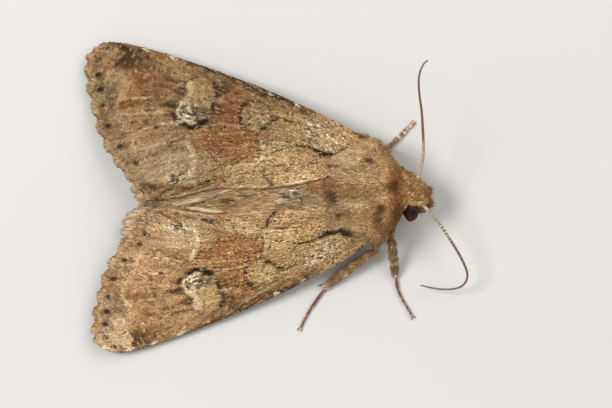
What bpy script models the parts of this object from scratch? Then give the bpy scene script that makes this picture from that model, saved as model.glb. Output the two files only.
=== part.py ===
"""A noctuid moth at rest, life size, as a still museum model in named solid sub-parts.

Metres, +Z up, +X towards the head, +Y the moth's left side. The feet stand on z = 0.
Places are first given in the body's frame, whose origin is on the floor under the thorax.
The last step moves everything so that the origin is the bottom centre of the whole box.
"""

import math

import bmesh
import bpy
from mathutils import Matrix, Vector

MM = 0.001
UP = Vector((0.0, 0.0, 1.0))

# Driving dimensions, in millimetres.
GAP = 0.1  # thin cut between neighbouring solids
PLATE = 0.5  # thickness of a wing solid
WIRE = 0.5  # thickness of a leg or feeler solid
FOREWING_HINGE = (1.0, 2.0)
# Degrees from straight back to the apex. The left wings lie flatter and so reach wider.
FOREWING_HEADING = {"left": 24.2, "right": 21.9}
HINDWING_HEADING = {"left": 21.5, "right": 18.5}
HINDWING_STRETCH = {"left": 0.95, "right": 1.0}  # the left one is folded further in
REACH = {"left": 1.0, "right": 0.86}  # breadth of the tail side, seen from above
SWEEP = {"left": 0.0, "right": -0.05}  # how much of that breadth goes back along the wing
RIDGE_TOP = 4.5  # height of the wings over the back
RIDGE_START = -2.0
RIDGE_FALL = 0.02  # how fast the ridge curves down towards the tail
SIDE_START = -1.3
SIDE_FALL = {"left": 0.25, "right": 0.388}  # how steeply a wing falls away at the thorax
SIDE_EASE = {"left": 0.0166, "right": 0.0275}  # and how that eases towards the tail
SIDE_POWER = 1.4
FLAT_DEPTH = 0.03  # how much of a foot's round underside is cut away flat

# Forewing outline, in its own plane: along the line from hinge to apex, then across it,
# positive towards the leading edge. Each edge starts at the base, the outer one at the tail.
FOREWING_COSTA = (
    (0.6, 0.45), (1.9, 0.80), (3.3, 0.98), (5.0, 1.10), (7.6, 1.20), (10.9, 1.12),
    (13.0, 1.00), (14.8, 0.82), (16.2, 0.56), (17.05, 0.15),
)
FOREWING_DORSUM = (
    (0.6, -1.0), (2.5, -2.35), (4.7, -3.72), (6.2, -4.38), (7.7, -5.05), (9.1, -6.0),
    (10.0, -6.8), (10.9, -7.25),
)
FOREWING_TERMEN = (
    (10.9, -7.25), (11.8, -6.8), (12.7, -6.4), (13.8, -5.8), (14.9, -4.95), (15.85, -3.85),
    (16.7, -2.7), (17.35, -1.5), (17.5, -0.6), (17.05, 0.15),
)
HINDWING_COSTA = ((1.5, 0.0), (4.0, 0.1), (8.0, -0.1), (11.5, -0.55), (13.4, -1.1))
HINDWING_DORSUM = ((1.5, -1.3), (2.6, -2.9), (4.0, -3.66), (7.0, -4.86), (10.0, -6.03), (12.2, -6.9))
HINDWING_TERMEN = (
    (12.2, -6.9), (13.2, -6.5), (13.9, -5.2), (14.2, -3.6), (14.0, -2.2), (13.4, -1.1),
)
FOREWING_GRID = (18, 9)
HINDWING_GRID = (12, 7)

# The body from face to tail: place along it, height of its axis, half width, half height.
BODY = (
    (3.72, 2.20, 0.30, 0.40),
    (3.58, 2.22, 0.66, 0.76),
    (3.25, 2.28, 0.95, 1.06),
    (2.90, 2.38, 1.04, 1.20),
    (2.60, 2.50, 1.10, 1.32),
    (2.35, 2.62, 1.42, 1.48),
    (2.00, 2.76, 1.92, 1.70),
    (1.60, 2.88, 2.38, 1.86),
    (1.10, 2.95, 2.62, 1.95),
    (0.30, 2.98, 2.64, 1.97),
    (-0.60, 2.95, 2.45, 1.90),
    (-1.40, 2.88, 2.08, 1.75),
    (-2.00, 2.70, 1.70, 1.55),
    (-2.50, 2.20, 1.50, 1.30),
    (-3.00, 1.72, 1.72, 1.22),
    (-4.50, 1.62, 1.92, 1.22),
    (-6.50, 1.50, 1.82, 1.15),
    (-8.50, 1.32, 1.48, 1.00),
    (-10.20, 1.18, 1.08, 0.82),
    (-11.40, 1.10, 0.72, 0.62),
    (-12.10, 1.05, 0.42, 0.38),
)
NECK = 2.62  # cut between head and collar
SHOULDER = 1.55  # cut between collar and thorax
WAIST = -2.3  # cut between thorax and abdomen
TAIL_TUFT = -10.6  # cut between abdomen and its tip
BODY_SEGMENTS = 20

HEAD_ROLL = -27.0  # degrees, the right eye turned up
HEAD_PIVOT = (0.0, 0.0, 2.9)
EYE_CENTRE = (2.78, 0.92, 2.12)
EYE_RADII = (0.54, 0.60, 0.66)
PALP = ((3.22, 0.34, 1.25), (3.60, 0.36, 1.52), (3.82, 0.34, 1.95), (3.86, 0.30, 2.35))
PALP_RADII = (0.25, 0.30, 0.27, 0.14)

# The leaf-shaped flap over each wing's root: place, half width, half thickness.
TEGULA = (
    ((1.42, 2.30, 3.35), 0.38, 0.22),
    ((1.05, 2.42, 3.62), 0.76, 0.34),
    ((0.40, 2.30, 3.86), 0.80, 0.36),
    ((-0.50, 2.05, 4.02), 0.62, 0.32),
    ((-1.30, 1.85, 4.06), 0.42, 0.24),
    ((-1.95, 1.72, 4.02), 0.22, 0.14),
)
TEGULA_TILT = 34.0  # degrees that the flap leans outwards

# Feelers: centreline from the head to the tip, in three lengths.
ANTENNA = {
    "left": (
        (3.30, 0.62, 2.90), (3.52, 1.25, 3.35), (3.68, 2.15, 3.85), (3.67, 3.30, 4.60),
        (3.62, 4.40, 5.40), (3.50, 5.40, 6.20), (3.50, 6.30, 6.90), (3.72, 6.90, 7.30),
        (4.00, 7.18, 7.50),
    ),
    "right": (
        (3.30, -0.62, 2.90), (3.80, -1.15, 2.95), (4.40, -1.90, 2.80), (5.12, -3.05, 2.45),
        (5.72, -4.15, 2.00), (5.98, -4.95, 1.60), (5.80, -5.50, 1.30), (5.25, -5.76, 1.05),
        (4.30, -5.74, 0.80), (3.30, -5.50, 0.60),
    ),
}
ANTENNA_PARTS = ("base", "middle", "tip")
ANTENNA_RINGS = 9  # rings in each length

# Legs: hip, knee, ankle, and the foot's path along the floor, for each leg of each side.
LEGS = {
    "front_left": ((1.90, 0.70, 1.25), (1.45, 2.20, 1.95), (1.75, 2.45), ((3.24, 3.85),)),
    "middle_left": ((0.50, 0.80, 1.25), (0.60, 3.00, 1.60), (-2.10, 3.70), ((-4.70, 4.40),)),
    "hind_left": ((-1.00, 0.80, 1.25), (-2.30, 2.75, 1.45), (-5.60, 4.10), ((-8.90, 5.30),)),
    "front_right": (
        (1.90, -0.70, 1.25), (1.68, -2.60, 2.05), (1.88, -4.75), ((2.05, -5.85), (2.78, -7.30)),
    ),
    "middle_right": (
        (0.50, -0.80, 1.25), (0.85, -3.25, 1.30), (-2.10, -5.30), ((-3.15, -6.70), (-3.74, -7.72)),
    ),
    "hind_right": (
        (-1.00, -0.80, 1.25), (-2.10, -2.45, 1.15), (-5.60, -3.60), ((-8.90, -4.30),),
    ),
}
FEMUR_RADII = (0.42, 0.40, 0.27)
TIBIA_RADII = (0.27, 0.33, 0.25)
FOOT_RADII = (0.25, 0.25, 0.25)

# Finish of each kind of piece: base colour, roughness, metallic.
FINISH = {
    "wing": ((0.36, 0.22, 0.12), 0.72, 0.0),
    "hindwing": ((0.30, 0.22, 0.15), 0.70, 0.0),
    "fur": ((0.38, 0.23, 0.12), 0.85, 0.0),
    "collar": ((0.30, 0.15, 0.07), 0.85, 0.0),
    "eye": ((0.02, 0.014, 0.01), 0.18, 0.0),
    "feeler": ((0.26, 0.15, 0.10), 0.55, 0.0),
    "leg": ((0.30, 0.19, 0.11), 0.65, 0.0),
}


def clear_scene():
    for obj in list(bpy.data.objects):
        bpy.data.objects.remove(obj)


def material(kind):
    """The shared material of one kind of piece."""
    found = bpy.data.materials.get(kind)
    if found:
        return found
    made = bpy.data.materials.new(kind)
    made.use_nodes = True
    shader = made.node_tree.nodes["Principled BSDF"]
    colour, roughness, metallic = FINISH[kind]
    shader.inputs["Base Color"].default_value = (*colour, 1.0)
    shader.inputs["Roughness"].default_value = roughness
    shader.inputs["Metallic"].default_value = metallic
    return made


def object_from(bm, name, kind=None):
    """Turns a bmesh in millimetres into an object in metres, with its faces pointing out."""
    bmesh.ops.recalc_face_normals(bm, faces=bm.faces)
    bmesh.ops.scale(bm, vec=(MM, MM, MM), verts=bm.verts)
    mesh = bpy.data.meshes.new(name)
    bm.to_mesh(mesh)
    bm.free()
    mesh.shade_smooth()
    mesh.set_sharp_from_angle(angle=math.radians(40))
    obj = bpy.data.objects.new(name, mesh)
    bpy.context.scene.collection.objects.link(obj)
    if kind:
        mesh.materials.append(material(kind))
    else:
        obj.hide_render = True
        obj.display_type = "WIRE"
    return obj


def spline(points, share):
    """A point on the smooth curve through these points, share 0 to 1 along their count."""
    last = len(points) - 1
    at = min(max(share, 0.0), 1.0) * last
    i = min(int(at), last - 1)
    f = at - i
    p1, p2 = Vector(points[i]), Vector(points[i + 1])
    p0 = Vector(points[i - 1]) if i > 0 else 2 * p1 - p2
    p3 = Vector(points[i + 2]) if i + 2 <= last else 2 * p2 - p1
    return 0.5 * (
        2 * p1 + (p2 - p0) * f + (2 * p0 - 5 * p1 + 4 * p2 - p3) * f * f + (3 * p1 - p0 - 3 * p2 + p3) * f ** 3
    )


def roof(x, y, side):
    """Height of a forewing's upper surface over a point of the floor plan."""
    ridge = RIDGE_TOP - RIDGE_FALL * (x - RIDGE_START) ** 2
    fall = SIDE_FALL[side] + SIDE_EASE[side] * (x - SIDE_START)
    return ridge - max(fall, 0.0) * abs(y) ** SIDE_POWER


def side_sign(side):
    return 1.0 if side == "left" else -1.0


def mirrored(point, side):
    return (point[0], side_sign(side) * point[1], *point[2:])


def wing_point(edges, heading, side, s, t, stretch=1.0):
    """Floor plan of a wing: s runs from base to outer edge, t from the tail side to the leading edge."""
    costa, dorsum, termen = edges
    inner, outer = Vector(dorsum[0]), Vector(costa[0])
    base = inner.lerp(outer, t)
    sides = spline(dorsum, s).lerp(spline(costa, s), t)
    ends = base.lerp(spline(termen, t), s)
    corners = base.lerp(Vector(termen[0]).lerp(Vector(termen[-1]), t), s)
    along, across = sides + ends - corners
    if across < 0:
        along += SWEEP[side] * across
        across *= REACH[side]
    along *= stretch
    turn = math.radians(heading)
    x = FOREWING_HINGE[0] - along * math.cos(turn) + across * math.sin(turn)
    y = FOREWING_HINGE[1] + along * math.sin(turn) + across * math.cos(turn)
    return x, side_sign(side) * max(y, GAP)  # the two sides' wings don't touch


def wing(name, kind, edges, grid, heading, side, drop=0.0, stretch=1.0):
    """A wing as a plate of even thickness under the roof surface, lowered by drop."""
    bm = bmesh.new()
    bmesh.ops.create_grid(bm, x_segments=grid[0], y_segments=grid[1], size=0.5)
    for vert in bm.verts:
        x, y = wing_point(edges, heading, side, vert.co.x + 0.5, vert.co.y + 0.5, stretch)
        vert.co = (x, y, roof(x, y, side) - drop)
    made = bmesh.ops.extrude_face_region(bm, geom=bm.faces[:], use_keep_orig=True)
    lower = [part for part in made["geom"] if isinstance(part, bmesh.types.BMVert)]
    bmesh.ops.translate(bm, vec=(0, 0, -PLATE), verts=lower)
    return object_from(bm, name, kind)


def ring(bm, centre, forward, radii, roll, segments):
    """Adds an elliptical ring of vertices across a direction and returns its edges."""
    forward = forward.normalized()
    across = UP.cross(forward) if abs(forward.z) < 0.95 else Vector((0, 1, 0))
    across.normalize()
    upright = forward.cross(across)
    basis = Matrix((across, upright, forward)).transposed().to_4x4()
    place = Matrix.Translation(centre) @ basis @ Matrix.Rotation(roll, 4, "Z") @ Matrix.Diagonal((*radii, 1, 1))
    verts = bmesh.ops.create_circle(bm, segments=segments, radius=1, matrix=place)["verts"]
    return list({edge for vert in verts for edge in vert.link_edges})


def loft(name, kind, centres, radii, segments=12, roll=0.0, grow=0.0, facing=None):
    """A closed skin over elliptical rings, which may be grown to make a cutter.

    Each ring faces along the path, unless facing gives its index a direction of its own.
    """
    bm = bmesh.new()
    centres = [Vector(c) for c in centres]
    facing = facing or {}
    last = len(centres) - 1
    loops = []
    for i, centre in enumerate(centres):
        forward = facing.get(i, centres[min(i + 1, last)] - centres[max(i - 1, 0)])
        forward = Vector(forward).normalized()
        place = centre.copy()
        if i in (0, last):
            place += forward * (grow if i else -grow)
        size = (radii[i][0] + grow, radii[i][1] + grow)
        loops.append(ring(bm, place, forward, size, roll, segments))
    for one, other in zip(loops, loops[1:]):
        bmesh.ops.bridge_loops(bm, edges=one + other)
    bmesh.ops.holes_fill(bm, edges=loops[0] + loops[-1])
    return object_from(bm, name, kind)


def tube(name, kind, path, radii, rings, segments=8, facing=None):
    """A round limb along a smooth curve through the path's points."""
    shares = [i / (rings - 1) for i in range(rings)]
    centres = [spline(path, share) for share in shares]
    sizes = [spline([(r, 0.0) for r in radii], share)[0] for share in shares]
    return loft(name, kind, centres, [(size, size) for size in sizes], segments, facing=facing)


def cut_below_floor(obj):
    """Cuts a foot's underside flat at the floor."""
    bm = bmesh.new()
    bm.from_mesh(obj.data)
    parts = bm.verts[:] + bm.edges[:] + bm.faces[:]
    cut = bmesh.ops.bisect_plane(bm, geom=parts, plane_co=(0, 0, 0), plane_no=(0, 0, 1), clear_inner=True)
    edges = [part for part in cut["geom_cut"] if isinstance(part, bmesh.types.BMEdge)]
    bmesh.ops.holes_fill(bm, edges=edges)
    bmesh.ops.recalc_face_normals(bm, faces=bm.faces)
    bm.to_mesh(obj.data)
    bm.free()


def cut_away(obj, *cutters):
    """Removes the cutters' space from an object."""
    for cutter in cutters:
        modifier = obj.modifiers.new("cut", "BOOLEAN")
        modifier.operation = "DIFFERENCE"
        modifier.solver = "EXACT"
        modifier.object = cutter


def body_loft(name, kind, front, back, grow=0.0):
    """The stretch of the body between two cuts across it."""
    rows = [row for row in BODY if back < row[0] < front]
    ends = [section_at(x) for x in (front, back) if BODY[-1][0] < x < BODY[0][0]]
    rows = sorted(rows + ends, reverse=True)
    centres = [(x, 0.0, z) for x, z, _, _ in rows]
    radii = [(width, height) for _, _, width, height in rows]
    facing = {i: (-1, 0, 0) for i in range(len(rows))}
    return loft(name, kind, centres, radii, BODY_SEGMENTS, grow=grow, facing=facing)


def section_at(x):
    """The body's ring at a place between two of those listed."""
    for fore, aft in zip(BODY, BODY[1:]):
        if aft[0] <= x <= fore[0]:
            share = (fore[0] - x) / (fore[0] - aft[0])
            return (x, *(a + (b - a) * share for a, b in zip(fore[1:], aft[1:])))
    raise ValueError(f"no body at {x}")


def build_body():
    """Head, collar, thorax and abdomen, parted by thin cuts across one smooth body."""
    rolled(body_loft("head", "fur", BODY[0][0] + 1, NECK + GAP / 2))
    body_loft("collar", "collar", NECK - GAP / 2, SHOULDER + GAP / 2)
    body_loft("thorax", "fur", SHOULDER - GAP / 2, WAIST + GAP / 2)
    body_loft("abdomen", "fur", WAIST - GAP / 2, TAIL_TUFT + GAP / 2)
    body_loft("abdomen_tip", "fur", TAIL_TUFT - GAP / 2, BODY[-1][0] - 1)


def ellipsoid(name, kind, centre, radii, grow=0.0):
    bm = bmesh.new()
    size = Matrix.Diagonal((*(r + grow for r in radii), 1))
    bmesh.ops.create_uvsphere(bm, u_segments=14, v_segments=9, radius=1, matrix=Matrix.Translation(centre) @ size)
    return object_from(bm, name, kind)


def rolled(obj):
    """Turns a piece of the head about the neck."""
    pivot = Matrix.Translation(Vector(HEAD_PIVOT) * MM)
    obj.data.transform(pivot @ Matrix.Rotation(math.radians(HEAD_ROLL), 4, "X") @ pivot.inverted())
    return obj


def build_head_parts(side, head_room):
    """One eye, palp and feeler."""
    centre = mirrored(EYE_CENTRE, side)
    rolled(ellipsoid(f"eye_{side}", "eye", centre, EYE_RADII))
    socket = rolled(ellipsoid(f"socket_{side}", None, centre, EYE_RADII, GAP))
    for name in ("head", "collar"):
        cut_away(bpy.data.objects[name], socket)
    path = [mirrored(point, side) for point in PALP]
    palp = rolled(tube(f"palp_{side}", "fur", path, PALP_RADII, 7))
    cut_away(palp, head_room)
    build_antenna(side, head_room, socket)


def build_antenna(side, head_room, socket):
    """A feeler in three lengths, with a thin cut between each two."""
    path = ANTENNA[side]
    radius = WIRE / 2
    count = len(ANTENNA_PARTS)
    length = sum((Vector(b) - Vector(a)).length for a, b in zip(path, path[1:]))
    trim = GAP / 2 / length
    for i, part in enumerate(ANTENNA_PARTS):
        start = i / count + (trim if i else 0.0)
        end = (i + 1) / count - (trim if i + 1 < count else 0.0)
        shares = [start + (end - start) * k / (ANTENNA_RINGS - 1) for k in range(ANTENNA_RINGS)]
        centres = [spline(path, share) for share in shares]
        piece = loft(f"antenna_{side}_{part}", "feeler", centres, [(radius, radius)] * ANTENNA_RINGS, 8)
        if i == 0:
            cut_away(piece, head_room, socket)


def build_tegula(side, grow=0.0):
    """The flap over a wing's root, or a grown copy of it to cut with."""
    centres = [mirrored(place, side) for place, _, _ in TEGULA]
    radii = [(width, thick) for _, width, thick in TEGULA]
    name = f"tegula_{side}" if not grow else f"tegula_room_{side}"
    roll = math.radians(TEGULA_TILT) * side_sign(side)
    return loft(name, None if grow else "fur", centres, radii, 12, roll=roll, grow=grow)


def build_wings(side, body_cutter, tegula_room):
    """A forewing, and the hindwing folded under it."""
    fore = wing(
        f"forewing_{side}", "wing", (FOREWING_COSTA, FOREWING_DORSUM, FOREWING_TERMEN),
        FOREWING_GRID, FOREWING_HEADING[side], side,
    )
    hind = wing(
        f"hindwing_{side}", "hindwing", (HINDWING_COSTA, HINDWING_DORSUM, HINDWING_TERMEN),
        HINDWING_GRID, HINDWING_HEADING[side], side, PLATE + GAP, HINDWING_STRETCH[side],
    )
    cut_away(fore, body_cutter, tegula_room)
    cut_away(hind, body_cutter, tegula_room)


def build_leg(name, hip, knee, ankle, foot, body_cutter):
    """Thigh, shin and foot, parted by slanted cuts at the bends, the foot lying flat on the floor."""
    sole = WIRE / 2 - FLAT_DEPTH
    hip, knee, ankle = Vector(hip), Vector(knee), Vector((*ankle, sole))
    toes = [Vector((x, y, sole)) for x, y in foot]
    knee_faces = ((knee - hip).normalized() + (ankle - knee).normalized()).normalized()
    ankle_faces = ((ankle - knee).normalized() + (toes[0] - ankle).normalized()).normalized()
    above, below = knee - knee_faces * GAP / 2, knee + knee_faces * GAP / 2
    femur = tube(f"femur_{name}", "leg", [hip, hip.lerp(above, 0.5), above], FEMUR_RADII, 6, facing={5: knee_faces})
    cut_away(femur, body_cutter)
    end, start = ankle - ankle_faces * GAP / 2, ankle + ankle_faces * GAP / 2
    faces = {0: knee_faces, 5: ankle_faces}
    tibia = tube(f"tibia_{name}", "leg", [below, below.lerp(end, 0.5), end], TIBIA_RADII, 6, facing=faces)
    tarsus = tube(f"tarsus_{name}", "leg", [start, *toes], FOOT_RADII, 7, facing={0: ankle_faces})
    for piece in (tibia, tarsus):
        cut_below_floor(piece)


def centre_on_floor():
    """Puts the origin at the bottom centre of the box round all the solids."""
    bpy.context.view_layer.update()
    graph = bpy.context.evaluated_depsgraph_get()
    solids = [obj for obj in bpy.data.objects if not obj.hide_render]
    corners = [obj.evaluated_get(graph).bound_box for obj in solids]
    xs = [corner[0] for box in corners for corner in box]
    ys = [corner[1] for box in corners for corner in box]
    shift = Vector((-(min(xs) + max(xs)) / 2, -(min(ys) + max(ys)) / 2, 0))
    for obj in bpy.data.objects:
        obj.location = shift


def main():
    clear_scene()
    build_body()
    body_cutter = body_loft("body_room", None, BODY[0][0] + 1, BODY[-1][0] - 1, grow=GAP)
    head_room = rolled(body_loft("head_room", None, BODY[0][0] + 1, NECK, grow=GAP))
    for side in ("left", "right"):
        build_head_parts(side, head_room)
        build_tegula(side)
        tegula_room = build_tegula(side, grow=GAP)
        for name in ("thorax", "collar"):
            cut_away(bpy.data.objects[name], tegula_room)
        build_wings(side, body_cutter, tegula_room)
    for name, leg in LEGS.items():
        build_leg(name, *leg, body_cutter)
    centre_on_floor()


main()
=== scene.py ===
"""The looks of a noctuid moth at rest: skin, scales, hair, eyes, feelers and legs.

Shapes are worked out in the body's own millimetres, +X to the head and +Y to the moth's left,
with the feet on z = 0. Each finished piece is then put in the row frame, in metres.
A wing's own places are (u, v): u runs out from the hinge to the apex, and v across it,
positive towards the leading edge. Both forewings carry the same markings, mirrored, with small
differences of strength and place that are given as pairs for the left and the right.
"""

import math
from collections import namedtuple

import bmesh
import bpy
import numpy as np
from mathutils import Matrix, Vector
from mathutils.bvhtree import BVHTree
from mathutils.kdtree import KDTree


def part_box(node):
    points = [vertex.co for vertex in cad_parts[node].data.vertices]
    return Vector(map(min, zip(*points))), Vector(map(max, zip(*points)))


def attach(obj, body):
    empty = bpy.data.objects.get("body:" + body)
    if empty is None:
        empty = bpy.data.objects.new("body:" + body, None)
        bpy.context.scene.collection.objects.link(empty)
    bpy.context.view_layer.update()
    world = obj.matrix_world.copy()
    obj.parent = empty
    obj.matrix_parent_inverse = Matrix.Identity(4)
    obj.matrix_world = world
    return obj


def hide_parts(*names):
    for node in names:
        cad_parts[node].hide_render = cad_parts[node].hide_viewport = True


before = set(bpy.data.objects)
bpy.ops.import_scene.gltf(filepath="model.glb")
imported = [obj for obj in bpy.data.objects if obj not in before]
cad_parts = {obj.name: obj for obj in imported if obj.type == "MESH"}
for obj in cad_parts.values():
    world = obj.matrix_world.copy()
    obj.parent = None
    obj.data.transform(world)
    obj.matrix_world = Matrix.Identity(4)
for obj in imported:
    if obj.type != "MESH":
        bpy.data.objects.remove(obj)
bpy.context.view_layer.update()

MM = 0.001
UP = np.array((0.0, 0.0, 1.0))
SIDES = ("left", "right")

# ---------------------------------------------------------------- shapes shared with the solids

WAIST_CUT = -2.25  # tail end of the thorax solid
FOREWING_HINGE = (1.0, 2.0)
FOREWING_HEADING = {"left": 24.2, "right": 21.9}
HINDWING_HEADING = {"left": 21.5, "right": 18.5}
HINDWING_STRETCH = {"left": 0.95, "right": 1.0}
REACH = {"left": 1.0, "right": 0.86}
SWEEP = {"left": 0.0, "right": -0.05}
RIDGE_TOP = 4.5
RIDGE_START = -2.0
RIDGE_FALL = 0.02
SIDE_START = -1.3
SIDE_FALL = {"left": 0.25, "right": 0.388}
SIDE_EASE = {"left": 0.0166, "right": 0.0275}
SIDE_POWER = 1.4
MIDLINE_ROOM = 0.1  # the two sides' wings keep this far from the middle

# Outlines: leading edge, tail-side edge and outer edge.
FOREWING = (
    (
        (0.6, 0.45), (1.9, 0.80), (3.3, 0.98), (5.0, 1.10), (7.6, 1.20), (10.9, 1.12),
        (13.0, 1.00), (14.8, 0.82), (16.2, 0.56), (17.05, 0.15),
    ),
    (
        (0.6, -1.0), (2.5, -2.35), (4.7, -3.72), (6.2, -4.38), (7.7, -5.05), (9.1, -6.0),
        (10.0, -6.8), (10.9, -7.25),
    ),
    (
        (10.9, -7.25), (11.8, -6.8), (12.7, -6.4), (13.8, -5.8), (14.9, -4.95), (15.85, -3.85),
        (16.7, -2.7), (17.35, -1.5), (17.5, -0.6), (17.05, 0.15),
    ),
)
HINDWING = (
    ((1.5, 0.0), (4.0, 0.1), (8.0, -0.1), (11.5, -0.55), (13.4, -1.1)),
    ((1.5, -1.3), (2.6, -2.9), (4.0, -3.66), (7.0, -4.86), (10.0, -6.03), (12.2, -6.9)),
    ((12.2, -6.9), (13.2, -6.5), (13.9, -5.2), (14.2, -3.6), (14.0, -2.2), (13.4, -1.1)),
)

# The body from face to tail: place along it, height of its axis, half width, half height.
BODY = (
    (3.72, 2.20, 0.30, 0.40), (3.58, 2.22, 0.66, 0.76), (3.25, 2.28, 0.95, 1.06),
    (2.90, 2.38, 1.04, 1.20), (2.60, 2.50, 1.10, 1.32), (2.35, 2.62, 1.42, 1.48),
    (2.00, 2.76, 1.92, 1.70), (1.60, 2.88, 2.38, 1.86), (1.10, 2.95, 2.62, 1.95),
    (0.30, 2.98, 2.64, 1.97), (-0.60, 2.95, 2.45, 1.90), (-1.40, 2.88, 2.08, 1.75),
    (-2.00, 2.70, 1.70, 1.55), (-2.50, 2.20, 1.50, 1.30), (-3.00, 1.72, 1.72, 1.22),
    (-4.50, 1.62, 1.92, 1.22), (-6.50, 1.50, 1.82, 1.15), (-8.50, 1.32, 1.48, 1.00),
    (-10.20, 1.18, 1.08, 0.82), (-11.40, 1.10, 0.72, 0.62), (-12.10, 1.05, 0.42, 0.38),
)
HEAD_ROLL = -27.0
HEAD_PIVOT = (0.0, 0.0, 2.9)
EYE_CENTRE = (2.78, 0.92, 2.12)
EYE_RADII = (0.54, 0.60, 0.66)
PALP = ((3.22, 0.34, 1.25), (3.60, 0.36, 1.52), (3.82, 0.34, 1.95), (3.86, 0.30, 2.35))
PALP_RADII = (0.25, 0.30, 0.27, 0.14)
TONGUE_CENTRE = (3.34, 0.0, 1.42)
TEGULA = (
    ((1.42, 2.30, 3.35), 0.38, 0.22), ((1.05, 2.42, 3.62), 0.76, 0.34),
    ((0.40, 2.30, 3.86), 0.80, 0.36), ((-0.50, 2.05, 4.02), 0.62, 0.32),
    ((-1.30, 1.85, 4.06), 0.42, 0.24), ((-1.95, 1.72, 4.02), 0.22, 0.14),
)
TEGULA_TILT = 34.0
ANTENNA = {
    "left": (
        (3.30, 0.62, 2.90), (3.52, 1.25, 3.35), (3.68, 2.15, 3.85), (3.67, 3.30, 4.60),
        (3.62, 4.40, 5.40), (3.50, 5.40, 6.20), (3.50, 6.30, 6.90), (3.72, 6.90, 7.30),
        (4.00, 7.18, 7.50),
    ),
    "right": (
        (3.30, -0.62, 2.90), (3.80, -1.15, 2.95), (4.40, -1.90, 2.80), (5.12, -3.05, 2.45),
        (5.72, -4.15, 2.00), (5.98, -4.95, 1.60), (5.80, -5.50, 1.30), (5.25, -5.76, 1.05),
        (4.30, -5.74, 0.80), (3.30, -5.50, 0.60),
    ),
}
# Legs: hip, knee, ankle, then where the foot turns and ends on the floor.
LEGS = {
    "front_left": ((1.90, 0.70, 1.25), (1.45, 2.20, 1.95), (1.75, 2.45), ((3.24, 3.85),)),
    "middle_left": ((0.50, 0.80, 1.25), (0.60, 3.00, 1.60), (-2.10, 3.70), ((-4.70, 4.40),)),
    "hind_left": ((-1.00, 0.80, 1.25), (-2.30, 2.75, 1.45), (-5.60, 4.10), ((-8.90, 5.30),)),
    "front_right": (
        (1.90, -0.70, 1.25), (1.68, -2.60, 2.05), (1.88, -4.75), ((2.05, -5.85), (2.78, -7.30)),
    ),
    "middle_right": (
        (0.50, -0.80, 1.25), (0.85, -3.25, 1.30), (-2.10, -5.30), ((-3.15, -6.70), (-3.74, -7.72)),
    ),
    "hind_right": ((-1.00, -0.80, 1.25), (-2.10, -2.45, 1.15), (-5.60, -3.60), ((-8.90, -4.30),)),
}
SOLE = 0.22  # height of a foot's middle
ANKLE_HEIGHT = SOLE + 0.02
TOE_HEIGHT = SOLE - 0.08
LEG_RADII = {"femur": (0.26, 0.25, 0.15), "tibia": (0.14, 0.17, 0.13)}
TARSUS_ENDS = (0.42, 0.62, 0.76, 0.88, 1.0)  # where a foot's five joints end

# ---------------------------------------------------------------- coat and skin sizes

COAT_DEPTH = {"head": 0.14, "thorax": 0.26, "abdomen": 0.18, "palp": 0.10, "tegula": 0.12}
MEMBRANE_DEPTH = 0.12  # how far the wing's skin lies under the tips of its scales
MEMBRANE_THICKNESS = 0.14
HINDWING_DROP = 0.6  # how far the hindwings lie under the forewings
FRINGE_START = 0.974  # share of the wing's length where the skin ends and the fringe starts
HIND_FRINGE_START = 0.94
VEINS = 11  # scallops of a wing's outer edge
FIELD_END = 18  # every wing lies inside these limits of u and v
FIELD_BACK, FIELD_FRONT = -8, 1.6
FRINGE_ROWS = 5
SCALE_THICKNESS = 0.012
EDGE_SCALES = 5200  # scales round a leading edge
SKIN_VOXEL = 0.065  # grain of the one skin
SETTLE_REACH = 0.2  # how far a hair's root may move to reach the skin
ROOT_DEPTH = 0.03  # how far a hair starts inside the skin
FLOOR_GAP = 0.01  # how far hairs stay above the floor

# ---------------------------------------------------------------- camera and light

VIEW_CENTRE = (-3.10, -0.54)  # body millimetres
VIEW_HEIGHT = 202.5
VIEW_LENS = 206.0
VIEW_TURN = -2.37  # degrees

# ---------------------------------------------------------------- small helpers


def origin():
    """Where the body's own origin is in the row frame."""
    low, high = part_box("thorax")
    return np.array((low.x - WAIST_CUT * MM, (low.y + high.y) / 2, 0.0))


ORIGIN = origin()


def unit(v):
    """Vectors of length 1 in the same directions."""
    return v / np.maximum(np.linalg.norm(v, axis=-1, keepdims=True), 1e-9)


def side_sign(side):
    """1 on the left, -1 on the right."""
    return 1.0 if side == "left" else -1.0


def on(side, value):
    """A value for both sides, or the side's own where it is a pair for the left and the right."""
    return value[SIDES.index(side)] if isinstance(value, tuple) else value


def mirrored(points, side):
    """Points given for the left side, on this side."""
    return np.array(points, float) * (1, side_sign(side), 1)


def curve(points, share):
    """Places on the smooth curve through some points, share 0 to 1 along their count."""
    points = np.asarray(points, float)
    last = len(points) - 1
    at = np.clip(share, 0, 1) * last
    i = np.minimum(at.astype(int), last - 1)
    f = (at - i)[..., None]
    padded = np.vstack([2 * points[0] - points[1], points, 2 * points[-1] - points[-2]])
    p0, p1, p2, p3 = padded[i], padded[i + 1], padded[i + 2], padded[i + 3]
    return 0.5 * (
        2 * p1 + (p2 - p0) * f + (2 * p0 - 5 * p1 + 4 * p2 - p3) * f**2 + (3 * p1 - p0 - 3 * p2 + p3) * f**3
    )


def ramp(x, low, high):
    """0 below low, 1 above high, and smooth between them."""
    t = np.clip((x - low) / (high - low), 0, 1)
    return t * t * (3 - 2 * t)


def hashed(i, j, seed):
    """An even random number for each cell of a lattice."""
    n = (i.astype(np.int64) * 374761393 + j.astype(np.int64) * 668265263 + seed * 2246822519) & 0xFFFFFFFF
    n = ((n ^ (n >> 13)) * 1274126177) & 0xFFFFFFFF
    return (n ^ (n >> 16)) / 0xFFFFFFFF


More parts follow.
